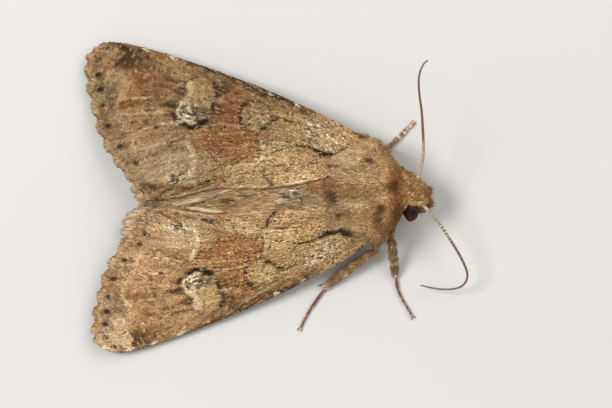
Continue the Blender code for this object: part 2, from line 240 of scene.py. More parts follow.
def noise(u, v, seed):
    """Smooth random values between 0 and 1, one swell to each unit."""
    i, j = np.floor(u), np.floor(v)
    f, g = u - i, v - j
    f, g = f * f * (3 - 2 * f), g * g * (3 - 2 * g)
    low = hashed(i, j, seed) * (1 - f) + hashed(i + 1, j, seed) * f
    high = hashed(i, j + 1, seed) * (1 - f) + hashed(i + 1, j + 1, seed) * f
    return low * (1 - g) + high * g


def clouds(u, v, seed):
    """Noise of three sizes laid over each other."""
    middle, small = noise(2.1 * u, 2.1 * v, seed + 1), noise(4.3 * u, 4.3 * v, seed + 2)
    return (noise(u, v, seed) + middle / 2 + small / 4) / 1.75


# ---------------------------------------------------------------- colours

# Screen colours of the scales and hairs.
TONES = {
    "cream": (203, 175, 130), "ochre": (178, 145, 98), "tan": (162, 129, 87), "fawn": (143, 109, 72),
    "rust": (142, 86, 47), "orange": (147, 101, 56), "umber": (86, 56, 32), "soot": (36, 22, 12),
    "white": (228, 208, 172), "plum": (80, 53, 36), "rose": (171, 136, 100), "grey": (120, 97, 74),
    "olive": (153, 124, 80), "ginger": (155, 105, 57), "maroon": (112, 66, 40),
}


def tone(name):
    """A tone as linear red, green and blue."""
    c = np.array(TONES[name], float) / 255
    return np.where(c < 0.04045, c / 12.92, ((c + 0.055) / 1.055) ** 2.4)


def plain(name, like):
    """One tone, once for each of some places."""
    return np.broadcast_to(tone(name), (*np.shape(like), 3)).copy()


def lay(rgb, name, amount):
    """Lays a tone over colours, as thickly as amount says."""
    return rgb + (tone(name) - rgb) * np.asarray(amount)[..., None]


def oval(u, v, centre, radii, turn=0.0, soft=0.15):
    """Inside an oval, fading over a soft share of its radius."""
    c, s = math.cos(math.radians(turn)), math.sin(math.radians(turn))
    a, b = u - centre[0], v - centre[1]
    r = np.hypot((a * c + b * s) / radii[0], (b * c - a * s) / radii[1])
    return 1 - ramp(r, 1 - soft, 1 + soft)


def stroke(u, v, points, width, soft=0.6):
    """Near a line through these points, fading over a soft share of its width."""
    best = np.full(np.shape(u), 1e9)
    for (u0, v0), (u1, v1) in zip(points, points[1:]):
        du, dv = u1 - u0, v1 - v0
        t = np.clip(((u - u0) * du + (v - v0) * dv) / (du * du + dv * dv), 0, 1)
        best = np.minimum(best, np.hypot(u - u0 - t * du, v - v0 - t * dv))
    return 1 - ramp(best / (width / 2), 1 - soft, 1 + soft)


def spot(centre, radii, turn=0, soft=0.5):
    """The shape of an oval mark."""
    return lambda u, v: oval(u, v, centre, radii, turn, soft)


def line(points, width, soft=0.6):
    """The shape of a mark along a line."""
    return lambda u, v: stroke(u, v, points, width, soft)


def drawn(lines):
    """Lines of scales as marks, a little wider for the breadth of the scales."""
    return [(name, strength, line(points, width * 1.1)) for name, strength, width, points in lines]


def paint(rgb, u, v, marks, side="left"):
    """Lays marks over colours in turn: each has its tone, its strength and its shape."""
    for name, strength, shape in marks:
        rgb = lay(rgb, on(side, name), on(side, strength) * shape(u, v))
    return rgb


# Lines of dark or pale scales on the forewing: tone, strength, width and points.
FOREWING_LINES = (
    # pale upper edge of the base streak
    ("cream", 0.7, 0.20, ((2.1, -0.42), (2.7, -0.66), (3.4, -0.72))),
    # near edge of the ring mark, and its far edge
    ("soot", 0.95, 0.20, ((5.95, 0.0), (6.15, -0.25), (6.4, -0.65), (6.65, -0.93))),
    ("umber", 0.8, 0.12, ((5.2, 0.0), (5.95, 0.0))),
    ("soot", 0.75, 0.20, ((8.0, 0.2), (8.17, -0.12), (8.12, -0.45))),
    ("soot", 0.9, 0.20, ((8.02, -0.85), (7.85, -1.1), (7.5, -1.22))),
    ("cream", 0.5, 0.13, ((6.7, -1.03), (7.2, -1.17), (7.75, -1.27), (8.5, -1.5), (9.0, -1.62))),
    # fold and vein of the inner half
    ("cream", 0.45, 0.20, ((2.9, -2.45), (3.5, -2.85), (4.2, -3.3))),
    ("umber", 0.75, 0.13, ((2.9, -2.95), (3.6, -3.35), (4.4, -3.75), (5.3, -4.15))),
    ("white", 0.42, 0.13, ((4.1, -2.1), (5.1, -2.5), (6.2, -2.98), (7.1, -3.38), (7.9, -3.8))),
    ("white", 0.45, 0.17, ((6.5, -1.5), (6.2, -1.9), (5.98, -2.3), (6.02, -2.8))),
    ("umber", 0.5, 0.15, ((6.7, -1.6), (6.42, -2.0), (6.22, -2.35))),
    ("umber", 0.7, 0.14, ((4.65, -2.35), (4.95, -2.5), (5.1, -2.62))),
    ("umber", 0.6, 0.10, ((4.05, -2.08), (4.3, -2.2))),
    # the bent line before the middle
    ("soot", 0.95, 0.17, ((5.62, -3.05), (5.5, -3.3))),
    ("soot", 0.95, 0.17, ((5.42, -3.42), (5.2, -3.52))),
    ("soot", 1.0, 0.20, ((5.0, -3.68), (4.66, -3.8), (4.55, -3.95))),
    ("umber", 0.7, 0.20, ((4.4, -3.5), (4.1, -3.72))),
    ("soot", 0.7, 0.15, ((4.12, -4.75), (4.3, -5.05))),
    # kidney mark
    (
        "soot", 0.85, 0.20,
        ((10.1, 0.42), (9.82, 0.0), (9.72, -0.5), (9.68, -1.1), (9.7, -1.6), (9.86, -1.95)),
    ),
    ("soot", 1.0, 0.30, ((9.75, -1.75), (10.1, -2.15), (10.55, -2.42), (11.05, -2.38))),
    ("soot", 0.9, 0.28, ((11.42, -2.3), (11.68, -2.08))),
    ("umber", 0.6, 0.12, ((9.3, -3.1), (8.6, -3.5), (8.3, -3.7))),
    # pale vein below the kidney mark, broken by dark dashes
    ("soot", 0.8, 0.14, ((12.15, -3.05), (12.4, -3.2))),
    ("cream", 0.85, 0.13, ((12.5, -3.25), (12.95, -3.5))),
    ("umber", 0.75, 0.13, ((12.95, -3.5), (13.2, -3.62))),
    ("soot", 0.7, 0.13, ((10.95, -3.48), (11.25, -3.66))),
    ("cream", 0.85, 0.15, ((11.3, -3.72), (11.95, -4.05), (12.35, -4.35), (12.75, -4.75))),
    ("umber", 0.6, 0.12, ((11.35, -3.85), (11.7, -4.05))),
    # dark and rusty streaks between the veins beyond the kidney mark
    ("plum", 0.75, 0.13, ((11.6, -0.05), (12.3, -0.25), (12.9, -0.32))),
    ("plum", 0.9, 0.34, ((11.6, -0.62), (11.95, -0.72))),
    ("rust", 0.75, 0.16, ((11.9, -0.78), (12.7, -0.93), (13.3, -1.0))),
    ("soot", 0.85, 0.28, ((11.72, -1.45), (11.95, -1.62))),
    ("umber", 0.8, 0.22, ((12.0, -1.65), (12.55, -1.82))),
    ("plum", 0.6, 0.14, ((13.6, -0.85), (14.3, -1.05))),
    ("soot", 0.6, 0.12, ((13.45, -1.58), (13.72, -1.72))),
    ("umber", 0.75, 0.14, ((12.9, -2.32), (13.2, -2.45))),
    ("umber", 0.6, 0.14, ((13.45, -2.5), (13.65, -2.62))),
    ("umber", 0.6, 0.14, ((13.5, -3.25), (13.75, -3.38))),
    # pale edge of the outer cross line
    ("white", 0.33, 0.16, ((10.3, -3.25), (9.78, -3.75), (9.46, -4.4), (9.4, -5.15))),
    # inner edge
    ("soot", 0.95, 0.24, ((8.25, -4.95), (8.9, -5.15))),
    ("soot", 0.9, 0.24, ((9.55, -5.25), (9.95, -5.45))),
    ("umber", 0.75, 0.20, ((10.3, -5.35), (10.5, -5.42))),
    ("soot", 0.5, 0.22, ((11.1, -6.35), (11.9, -6.6))),
)
BASE_STREAK = (
    ("soot", 1.0, 0.30, ((1.66, -0.28), (1.92, -0.52), (2.24, -0.80), (2.64, -0.97), (2.98, -1.04))),
    ("soot", 1.0, 0.19, ((2.9, -1.0), (3.25, -0.97), (3.7, -0.95))),
    ("soot", 0.9, 0.11, ((3.6, -0.94), (4.0, -1.0), (4.45, -1.14))),
)
# Pale veins of the outer half, clearer on the left forewing.
PALE_VEINS = (
    ("white", (0.65, 0.2275), 0.13, ((11.0, -2.32), (11.5, -2.52), (12.15, -2.88))),
    ("cream", (0.8, 0.28), 0.12, ((12.25, -2.18), (12.95, -2.5), (13.7, -2.8), (14.4, -3.1))),
    ("cream", (0.7, 0.245), 0.11, ((13.15, -1.6), (13.9, -1.9), (14.7, -2.24))),
)
EDGE_DOTS = (
    (16.72, 0.05), (16.90, -0.75), (16.60, -1.53), (16.15, -2.28), (15.62, -3.10), (14.95, -4.07),
    (13.86, -4.92), (12.62, -5.46), (12.05, -5.9),
)
PALE_LINE = (
    (15.75, -0.2), (15.1, -1.2), (14.85, -2.0), (14.8, -2.9), (14.4, -3.6), (13.7, -4.2),
    (12.9, -4.8), (12.0, -5.3),
)
COSTA_DOTS = ((5.2, 1.06), (6.9, 1.1), (12.85, 0.93), (14.45, 0.82))
# Painted light and shade: how much lighter or darker each forewing is painted from base to apex, the left
# darker outward and the right lighter, as the light falls on their slopes.
PAINTED_LIGHT_PLACES = (3.0, 5.0, 8.0, 10.5, 13.0)
PAINTED_LIGHT_BY_SIDE = {"left": (1.04, 0.94, 0.80, 0.77, 0.86), "right": (1.10, 1.06, 1.05, 1.05, 1.16)}
INNER_PATCH = spot((10.2, -5.42), (0.75, 0.34), -25)  # speckled patch near the inner edge
INNER_STRIP = (
    (7.28, -4.98), (8.36, -5.36), (9.14, -5.72), (9.98, -5.94), (10.76, -6.26), (11.62, -6.42),
)


def vein_coordinate(u, v):
    """The same all along a vein, as the veins spread out from the hinge."""
    return (v - 0.18) * np.exp(0.17 * (10 - np.maximum(u, 3)))


def from_edge(u, v):
    """How far inside the forewing's outer edge points are, along the wing."""
    edge = np.array(FOREWING[2])
    return np.interp(v, edge[:, 1], edge[:, 0]) - u


# Marks of the forewing in the order that they are laid: tone, strength and shape.
MIDDLE_GROUND = (
    ("orange", 0.75, spot((8.1, -2.2), (2.4, 1.35), -18, 0.4)),
    ("orange", (0.65, 0.25), spot((12.9, -0.75), (1.7, 1.0), -8)),
    ("umber", (0.25, 0.0), spot((12.9, -0.75), (1.7, 1.0), -8)),
    ("cream", (0.0, 0.35), spot((13.0, -0.8), (1.3, 0.9), -8)),
)
PATCHES = (
    # the rusty middle area, and the ochre one nearer the body
    ("orange", 0.55, spot((7.9, -2.3), (2.0, 1.0), -18)),
    ("ochre", 0.8, spot((4.9, -1.9), (1.6, 1.25), -15, 0.35)),
    ("ochre", 0.6, spot((4.7, -3.0), (1.2, 0.75), -20, 0.35)),
    ("cream", 0.35, spot((5.4, -2.1), (0.8, 0.8), -15, 0.4)),
    ("orange", 0.7, spot((8.9, -0.6), (1.0, 1.15), 0, 0.4)),
    ("rust", (0.8, 0.25), spot((8.9, -0.6), (0.9, 1.05))),
    ("rust", (0.35, 0.0), spot((8.1, -2.3), (1.6, 0.9), -15)),
    ("umber", (0.65, 0.39), line(((9.55, 0.2), (9.4, -0.8), (9.45, -1.7)), 0.5, 0.8)),
    ("ginger", 0.5, spot((8.9, -2.7), (1.0, 0.7), -25, 0.6)),
    ("rust", (0.95, 0.55), spot((9.0, -2.75), (0.75, 0.5), -25, 0.7)),
    ("rust", 0.7, spot((8.15, -3.45), (0.35, 0.35), 0, 0.7)),
    ("rust", (0.8, 0.0), spot((7.7, -4.45), (0.32, 0.28), 0, 0.7)),
    ("rust", (0.0, 0.8), spot((7.7, -4.86), (0.32, 0.28), 0, 0.7)),
    ("olive", (0.6, 0.0), spot((12.4, 0.3), (1.3, 0.32), -4)),
    # the outer cross line
    ("cream", 0.7, line(((10.28, -3.2), (9.74, -3.75), (9.42, -4.4), (9.35, -5.2)), 0.34, 0.7)),
    ("umber", 0.4, line(((10.1, -2.98), (9.5, -3.65), (9.13, -4.4)), 0.18, 0.8)),
    ("cream", 0.85, spot((9.5, -5.2), (0.40, 0.28), -30)),
    # pale patches of the fold and the inner edge
    ("cream", 0.35, spot((6.8, -3.75), (1.2, 0.5), -22)),
    ("ochre", (0.85, 0.0), spot((8.6, -3.6), (0.65, 0.42), -22)),
    ("cream", (0.75, 0.0), spot((3.6, -2.85), (0.9, 0.35), -30)),
    ("cream", 0.65, line(((10.3, -5.6), (11.0, -5.85), (11.7, -6.05)), 0.35, 0.8)),
    # patches near the outer edge, and one of the inner edge
    ("grey", 0.75, spot((15.5, -2.35), (0.6, 0.62))),
    ("rust", (0.8, 0.52), spot((14.5, -2.5), (0.2, 0.44), 10, 0.6)),
    ("cream", 0.5, spot((14.85, -2.5), (0.13, 0.5), 8, 0.6)),
    ("grey", 0.8, spot((3.5, -3.65), (0.65, 0.32), -25, 0.6)),
)
RING_MARK = (
    ("umber", 0.5, spot((7.18, -0.4), (1.04, 0.86), -12, 0.2)),
    (("tan", "ochre"), 0.95, spot((7.18, -0.4), (0.86, 0.70), -12, 0.10)),
    ("cream", 0.4, spot((7.1, -0.3), (0.6, 0.5), -12, 0.4)),
)
KIDNEY_RIM = ((11.42, -1.15), (11.5, -1.7), (11.35, -2.1), (10.9, -2.13), (10.4, -2.05))
EDGE_MARKS = (
    *(("soot", 0.9, spot(at, (0.20, 0.14), -40, 0.4)) for at in EDGE_DOTS),
    *(("white", 0.9, spot(at, (0.17, 0.09), -5)) for at in COSTA_DOTS),
    ("white", (0.0, 0.9), spot((15.8, 0.6), (0.17, 0.09), -5)),
    ("cream", 0.45, spot((15.4, -1.35), (0.7, 0.5), 0, 0.6)),
)
LAST_MARKS = (
    ("white", 0.22, spot((10.3, -4.6), (1.1, 0.8), -25, 0.6)),
    ("cream", (0.5, 0.0), spot((11.9, -5.85), (0.7, 0.36), -25, 0.6)),
    ("cream", (0.0, 0.5), spot((11.1, -6.2), (0.7, 0.36), -25, 0.6)),
    ("rose", (0.3, 0.0), spot((5.2, -3.2), (1.7, 0.7), -25, 0.6)),
    ("umber", (0.0, 0.3), spot((3.1, -2.6), (1.0, 0.45), -25, 0.6)),
    ("umber", 0.35, line(((10.5, -3.75), (11.1, -4.05), (11.6, -4.3)), 0.4, 0.8)),
    ("cream", 0.3, spot((8.9, -4.1), (0.5, 0.35), -25, 0.6)),
    ("ochre", (0.5, 0.0), spot((9.55, -3.12), (0.4, 0.35), -25, 0.6)),
)


def forewing_ground(u, v, side):
    """The forewing's broad areas, with a grey and an orange band along its outer edge."""
    rgb = plain("tan", u)
    rgb = lay(rgb, "ochre", 0.75 * ramp(u, 1.2, 2.5) * (1 - ramp(u, 5.6, 6.6)))
    rgb = lay(rgb, "cream", 0.30 * oval(u, v, (2.7, 0.1), (1.4, 0.6), -8, 0.5))
    rgb = lay(rgb, "fawn", 0.6 * ramp(v, 0.2, 0.7) * ramp(u, 4.0, 5.5) * (1 - ramp(u, 10.0, 11.5)))
    rgb = paint(rgb, u, v, MIDDLE_GROUND, side)
    inner = ramp(-v, 2.9, 3.6) * (1 - ramp(u, 13.2, 15.0))
    rgb = lay(rgb, "rose", 0.8 * ramp(u + 0.42 * v, 7.6, 8.1) * inner)
    rgb = lay(rgb, "cream", on(side, (0.35, 0.0)) * oval(u, v, (11.6, -4.9), (2.2, 1.1), -20, 0.5))
    rgb = lay(rgb, "fawn", on(side, (0.4, 0.24)) * ramp(u - 0.55 * v, 17.0, 18.2))
    rgb = lay(rgb, "fawn", on(side, (0.35, 0.21)) * ramp(u, 11.5, 13.0) * ramp(v, -3.4, -2.2))
    rim = from_edge(u, v)
    rgb = lay(rgb, "grey", 0.40 * ramp(rim, 0.5, 0.9) * (1 - ramp(rim, 1.5, 2.1)))
    band = ramp(rim, 1.7, 2.2) * (1 - ramp(rim, 3.0, 4.2)) * ramp(v, -4.6, -3.0)
    rgb = lay(rgb, "ginger", on(side, (0.5, 0.3)) * band)
    return lay(rgb, "rose", 0.7 * oval(u, v, (15.4, -1.35), (0.75, 0.55), 0, 0.5))


def tip_marks(rgb, u, v, side):
    """The forewing's dark tip patch, larger on the left, with the pale tip beyond it."""
    beyond = ramp(u - 0.5 * np.maximum(v, 0) - on(side, (0.42, 0.0)), 15.45, 15.62)
    patch = ramp(u, 13.0, 14.5) * ramp(v + on(side, (0.3, 0.0)) + 0.25 * (u - 15), -0.6, 0.0)
    patch = patch * (1 - beyond) * (0.6 + 0.4 * ramp(u, 14.3, 15.3)) * on(side, (1.0, 0.82))
    rgb = lay(lay(rgb, "plum", patch), "umber", 0.35 * patch)
    pale = beyond * ramp(v, -1.75, -1.2)
    rgb = lay(rgb, "rose", 0.85 * pale)
    return lay(rgb, on(side, ("fawn", "white")), on(side, (0.4, 0.28)) * pale)


def kidney_mark(rgb, u, v, grains, side):
    """The kidney mark: pale above, sooty and speckled with white below."""
    upper = oval(u, v, (10.65, -0.35), (0.95, 0.85), 0, 0.1)
    kidney = np.maximum(upper, oval(u, v, (10.6, -1.35), (0.98, 0.88), -8, 0.1))
    rgb = lay(rgb, "umber", 0.55 * oval(u, v, (10.6, -0.85), (1.2, 1.6), -3, 0.12))
    rgb = lay(rgb, on(side, ("tan", "ochre")), kidney)
    outer = kidney * stroke(u, v, ((11.5, 0.15), (11.28, -0.5), (11.3, -1.05)), 0.46, 0.5)
    rgb = lay(lay(rgb, "cream", 0.85 * outer), "white", 0.3 * outer)
    rgb = lay(rgb, "cream", 0.45 * kidney * oval(u, v, (10.55, -0.65), (0.45, 0.4), 0, 0.5))
    lobe = kidney * oval(u, v, (10.55, -1.6), (0.92, 0.56), -10, 0.2)
    rgb = lay(rgb, "grey", 0.85 * lobe)
    rgb = lay(rgb, "soot", 0.95 * lobe * ramp(grains[0], 0.46, 0.60))
    outer = 0.2 + 0.8 * ramp(u, 10.1, 10.8)
    rgb = lay(rgb, "white", 0.95 * outer * lobe * ramp(grains[1], 0.52, 0.66))
    return lay(rgb, "white", 0.9 * stroke(u, v, KIDNEY_RIM, 0.24, 0.5))


def flecked(rgb, u, v, lane, busy):
    """Flecks of dark and pale scales, and fine streaks along the veins."""
    thin = noise(u * 1.7, lane * 10, 42)
    rgb = lay(rgb, "umber", 0.50 * busy * ramp(thin, 0.62, 0.9))
    rgb = lay(rgb, "cream", 0.40 * busy * ramp(1 - thin, 0.62, 0.9))
    flecks, lights = noise(u * 6.5, lane * 9, 44), noise(u * 6.5 + 40, lane * 9, 48)
    rgb = lay(rgb, "soot", 0.85 * busy * ramp(flecks, 0.74, 0.90))
    rgb = lay(rgb, "cream", (0.48 - 0.07 * ramp(u, 7, 12)) * ramp(lights, 0.70, 0.90))
    base = oval(u, v, (3.6, 0.1), (1.1, 0.45), 8, 0.5)
    rgb = lay(rgb, "white", 0.7 * base * ramp(lights, 0.5, 0.65))
    rgb = lay(rgb, "soot", 0.55 * base * ramp(flecks, 0.6, 0.72))
    patch = INNER_PATCH(u, v)
    rgb = lay(rgb, "white", 0.75 * patch * ramp(lights, 0.25, 0.45))
    return lay(rgb, "soot", 0.85 * patch * ramp(flecks, 0.62, 0.72))


def forewing_colour(u, v, side):
    """Colours of points on the forewing."""
    # places that wander a little, so that the marks have uneven edges
    uu = u + (clouds(u * 2.3, v * 2.3, 1) - 0.5) * 0.24
    vv = v + (clouds(u * 2.3, v * 2.3, 10) - 0.5) * 0.24
    lane = vein_coordinate(u, v)
    streak = clouds(u * 0.7, lane * 4.0, 4)
    blotch = clouds(u * 0.8, v * 0.8, 6)
    outward = ramp(u, 7, 12)
    rgb = forewing_ground(uu, vv, side)
    # streaks along the veins, and blotches
    rgb = lay(rgb, "umber", 0.36 * ramp(streak, 0.52, 0.78) * (0.4 + 0.6 * ramp(uu, 5, 8)))
    rgb = lay(rgb, "cream", 0.32 * ramp(1 - streak, 0.52, 0.8))
    rgb = lay(rgb, "orange", 0.35 * ramp(blotch, 0.5, 0.75))
    rgb = lay(rgb, "rose", 0.30 * ramp(1 - blotch, 0.5, 0.75))
    rgb = lay(rgb, "cream", 0.55 * stroke(uu, vv, PALE_LINE, 0.28, 0.8) * ramp(blotch, 0.3, 0.6))
    rgb = paint(rgb, uu, vv, PATCHES, side)
    rgb = tip_marks(rgb, uu, vv, side)
    # the dark leading edge
    edge = ramp(vv - 0.012 * (uu - 10), 0.86, 1.06) * ramp(uu, 3.5, 5.0) * (1 - ramp(uu, 15.6, 16.2))
    rgb = lay(rgb, "plum", 0.85 * edge)
    band = ramp(vv, 0.45, 0.8) * ramp(uu, 3.5, 5.0) * (1 - 0.75 * ramp(uu, 11.2, 12.0))
    rgb = lay(rgb, "umber", 0.7 * band * ramp(noise(u * 2.2, v * 3, 18), 0.3, 0.7))
    rgb = lay(rgb, "plum", 0.65 * oval(uu, vv, (9.7, 0.4), (0.5, 0.5), 0, 0.6))
    rgb = paint(rgb, uu, vv, RING_MARK, side)
    rgb = kidney_mark(rgb, uu, vv, (noise(u * 7, v * 7, 24), noise(u * 7, v * 7, 22)), side)
    rgb = paint(rgb, uu, vv, drawn(FOREWING_LINES), side)
    rgb = paint(rgb, u, v, drawn(BASE_STREAK), side)
    rgb = paint(rgb, uu, vv, drawn(PALE_VEINS), side)
    # the outer edge, darker towards the tail side, with orange in its fringe
    rim = from_edge(u, v)
    rgb = rgb * (1 - (0.10 + 0.18 * ramp(-v, 0.8, 2.4)) * (1 - ramp(rim, 0.5, 1.1)))[..., None]
    rgb = lay(rgb, "orange", 0.3 * (1 - ramp(rim, 0.35, 0.6)) * ramp(noise(v * 1.8, 0 * v, 52), 0.35, 0.6))
    rgb = paint(rgb, u, v, EDGE_MARKS, side)
    rgb = flecked(rgb, u, v, lane, 1 - 0.45 * outward)
    strip = stroke(uu, vv, INNER_STRIP, 0.34, 0.8) * (1 - INNER_PATCH(u, v))
    rgb = lay(rgb, "umber", on(side, (0.45, 0.0)) * strip)
    rgb = paint(rgb, u, v, LAST_MARKS, side)
    # painted light and shade on the left forewing's inner half: lighter towards the tail side, darker
    # towards the leading edge
    inner = on(side, (1.0, 0.0)) * ramp(u, 2.5, 3.5) * (1 - ramp(u, 7.0, 8.0))
    rgb = rgb * (1 + inner * (0.08 - 0.22 * ramp(v, -2.4, -1.3)))[..., None]
    # painted light and shade along each forewing, from base to apex
    light = np.interp(u, PAINTED_LIGHT_PLACES, PAINTED_LIGHT_BY_SIDE[side])
    fine = clouds(u * 3.0, lane * 5.0, 12)
    return rgb * (light * (1 + (0.6 - 0.25 * outward) * (fine - 0.5)))[..., None]


def hindwing_colour(u, v, side):
    """Colours of points on the hindwing: dusky, paler towards the body, with dark veins."""
    lane = clouds(u * 0.5, vein_coordinate(u, v) * 2.2, 41)
    rgb = plain("grey", u)
    rgb = lay(rgb, "ochre", 0.55 * (1 - ramp(u, 6, 11)))
    rgb = lay(rgb, "cream", 0.55 * ramp(-v, 3.4, 5.2))
    rgb = lay(rgb, "umber", 0.5 * ramp(lane, 0.55, 0.75))
    return lay(rgb, "cream", 0.35 * ramp(1 - lane, 0.55, 0.75))


def underside_colour(u, v, side):
    """Colours of a wing's underside: pale dusky ochre with a darker outer band."""
    rgb = plain("rose", u)
    rgb = lay(rgb, "grey", 0.6 * ramp(clouds(u * 0.7, v * 0.7, 51), 0.4, 0.7))
    rgb = lay(rgb, "umber", 0.45 * stroke(u, v, ((12.6, 0.8), (12.2, -2.0), (10.6, -4.6)), 0.7, 0.8))
    return lay(rgb, "umber", 0.6 * oval(u, v, (8.3, -0.8), (0.5, 0.4), 0, 0.5))


# Marks of the back, seen from above: tone, strength and shape.
BACK_MARKS = (
    ("ginger", 0.55, spot((1.6, 1.7), (0.9, 0.9), 0, 0.6)),
    ("ginger", 0.5, spot((1.5, -1.6), (0.8, 1.0), 0, 0.6)),
    ("olive", 0.5, spot((0.2, 1.2), (1.0, 0.6), 0, 0.6)),
    ("rose", 0.5, spot((-0.75, 0.45), (0.9, 0.35), 0, 0.6)),
    ("cream", 0.3, spot((1.5, 1.95), (0.5, 0.7), 0, 0.6)),
    ("umber", 1.0, spot((1.92, 0.20), (0.36, 0.40), 20, 0.4)),
    ("cream", 0.75, spot((1.42, -0.36), (0.20, 0.20), 30, 0.6)),
    ("umber", 1.0, spot((1.31, -1.00), (0.26, 0.27), 0, 0.6)),
    ("umber", 0.85, spot((1.10, -1.66), (0.22, 0.45), 10, 0.7)),
    ("soot", 0.95, spot((0.86, 1.74), (0.32, 0.15), -25, 0.5)),
    ("umber", 0.5, spot((-0.6, -1.05), (0.5, 0.16), 0, 0.7)),
    ("cream", 0.55, spot((-0.4, 1.95), (0.95, 0.45))),
    ("fawn", 0.9, spot((-0.35, 0.0), (0.95, 0.45))),
    ("orange", 0.95, spot((-1.75, 0.38), (0.80, 0.70), 0, 0.6)),
    ("umber", 0.15, spot((-1.3, 0.1), (1.3, 0.9), 0, 0.6)),
    ("umber", 1.0, spot((-1.37, -0.23), (0.24, 0.38), 10, 0.4)),
    ("umber", 0.5, spot((-1.2, -0.70), (0.5, 0.14), 0, 0.6)),
    ("umber", 0.4, spot((-2.15, -0.65), (0.6, 0.35), 0, 0.6)),
    # the right forewing's basal streak carried onto the back, darkened further as painted shadow in the gap
    # between the thorax and the right forewing
    ("soot", 1.0, spot((-1.05, -2.32), (0.80, 0.24), -3, 0.3)),
    # painted shade along the fold at the right forewing's base
    ("umber", 0.55, spot((0.2, -2.55), (0.8, 0.28), -12, 0.6)),
    ("umber", 1.0, spot((-1.82, 1.12), (0.26, 0.17), -35, 0.5)),
    ("grey", 0.8, spot((-3.4, 0.05), (0.9, 0.4))),
    ("cream", 0.2, spot((0.93, 3.1), (0.45, 0.35), 0, 0.6)),
    ("cream", 0.7, spot((1.1, -3.25), (0.35, 0.28))),
)


def back_colour(p, share=None):
    """Colours of the thorax and shoulder flaps, at places p."""
    x, y = p[..., 0], p[..., 1]
    xx = x + (clouds(x * 2.1, y * 2.1, 61) - 0.5) * 0.3
    yy = y + (clouds(x * 2.1, y * 2.1, 62) - 0.5) * 0.3
    rgb = plain("tan", x)
    rgb = lay(rgb, "cream", 0.6 * ramp(clouds(x * 0.9, y * 1.5, 63), 0.45, 0.7))
    rgb = lay(rgb, "fawn", 0.7 * ramp(clouds(x * 1.1, y * 1.8, 64), 0.45, 0.7))
    rgb = lay(rgb, "umber", 0.7 * ramp(noise(x * 3.5, y * 5.5, 65), 0.72, 0.9))
    rgb = lay(rgb, "cream", 0.6 * ramp(noise(x * 3.5, y * 5.5, 66), 0.72, 0.9))
    rgb = paint(rgb, xx, yy, BACK_MARKS)
    return lay(rgb, "rose", 0.6 * (1 - ramp(p[..., 2], 1.6, 2.6)))


def collar_colour(p, share=None):
    """Colours of the collar: warm brown with a paler hind edge, painted light on its left side and painted
    shade on its right.
    """
    x, y = p[..., 0], p[..., 1]
    rgb = lay(plain("ginger", x), "tan", 0.35)
    rgb = lay(rgb, "rust", 0.35 * ramp(clouds(x * 2, y * 1.4, 71), 0.4, 0.7))
    rgb = lay(rgb, "ochre", 0.5 * ramp(x, 2.1, 2.5))
    rgb = lay(rgb, "ochre", 0.55 * ramp(1.95 - x, -0.15, 0.25))
    rgb = lay(rgb, "umber", 0.8 * oval(x, y, (1.92, 0.20), (0.34, 0.34), 0, 0.5))
    # painted light: a paler patch on the left of the collar
    rgb = lay(rgb, "ochre", 0.7 * oval(x, y, (1.9, 1.7), (0.6, 0.8), 0, 0.6))
    rgb = lay(rgb, "cream", 0.3 * oval(x, y, (1.95, 1.7), (0.4, 0.8), 0, 0.6))
    # painted shade on the right side of the collar
    rgb = lay(rgb, "umber", 0.2 * ramp(-y, 0.3, 1.0))
    rgb = lay(rgb, "white", 0.9 * stroke(x, y, ((2.79, -0.90), (2.35, -1.75), (2.0, -2.33)), 0.22))
    return lay(rgb, "rose", 0.5 * (1 - ramp(p[..., 2], 1.6, 2.4))) * (1.06, 0.99, 0.85)


def head_colour(p, share=None):
    """Colours of the head: tan above, reddish in front and below."""
    x, y, z = p[..., 0], p[..., 1], p[..., 2]
    rgb = plain("tan", x)
    rgb = lay(rgb, "ginger", 0.35 * ramp(clouds(x * 2.4, y * 2.4, 81), 0.4, 0.6))
    rgb = lay(rgb, "ochre", 0.6 * ramp(clouds(x * 3, y * 3, 83), 0.45, 0.65))
    rgb = lay(rgb, "ochre", 0.5 * ramp(y, 0.2, 0.8))
    rgb = lay(rgb, "maroon", 0.8 * ramp(x, 3.0, 3.4) * ramp(-y, 0.0, 0.6))
    for side in SIDES:
        eye = head_turn(mirrored([EYE_CENTRE], side))[0]
        around = np.linalg.norm((p - eye) / EYE_RADII, axis=-1)
        rgb = lay(rgb, "cream", 0.75 * (1 - ramp(around, 1.25, 1.45)))
    return lay(rgb, "maroon", 0.5 * (1 - ramp(z, 1.6, 2.4))) * (1.13, 1.08, 0.92)


def palp_colour(p, share=None):
    """Colours of the palps: reddish below, tan at their tips."""
    rgb = plain("maroon", p[..., 0])
    rgb = lay(rgb, "ginger", 0.7 * ramp(clouds(p[..., 1] * 4, p[..., 2] * 4, 91), 0.35, 0.6))
    return lay(rgb, "tan", 0.8 * ramp(p[..., 2], 1.7, 2.2))


def abdomen_colour(p, share=None):
    """Colours of the abdomen: dusky ochre, with paler hind edges of its rings and a pale tail."""
    x, y = p[..., 0], p[..., 1]
    rgb = plain("fawn", x)
    rgb = lay(rgb, "ochre", 0.6 * ramp(np.sin(x * 4.6 + 0.6), 0.2, 0.9))
    rgb = lay(rgb, "grey", 0.5 * ramp(clouds(x, y, 101), 0.45, 0.7))
    return lay(rgb, "cream", 0.5 * ramp(-x, 9.5, 11.5))


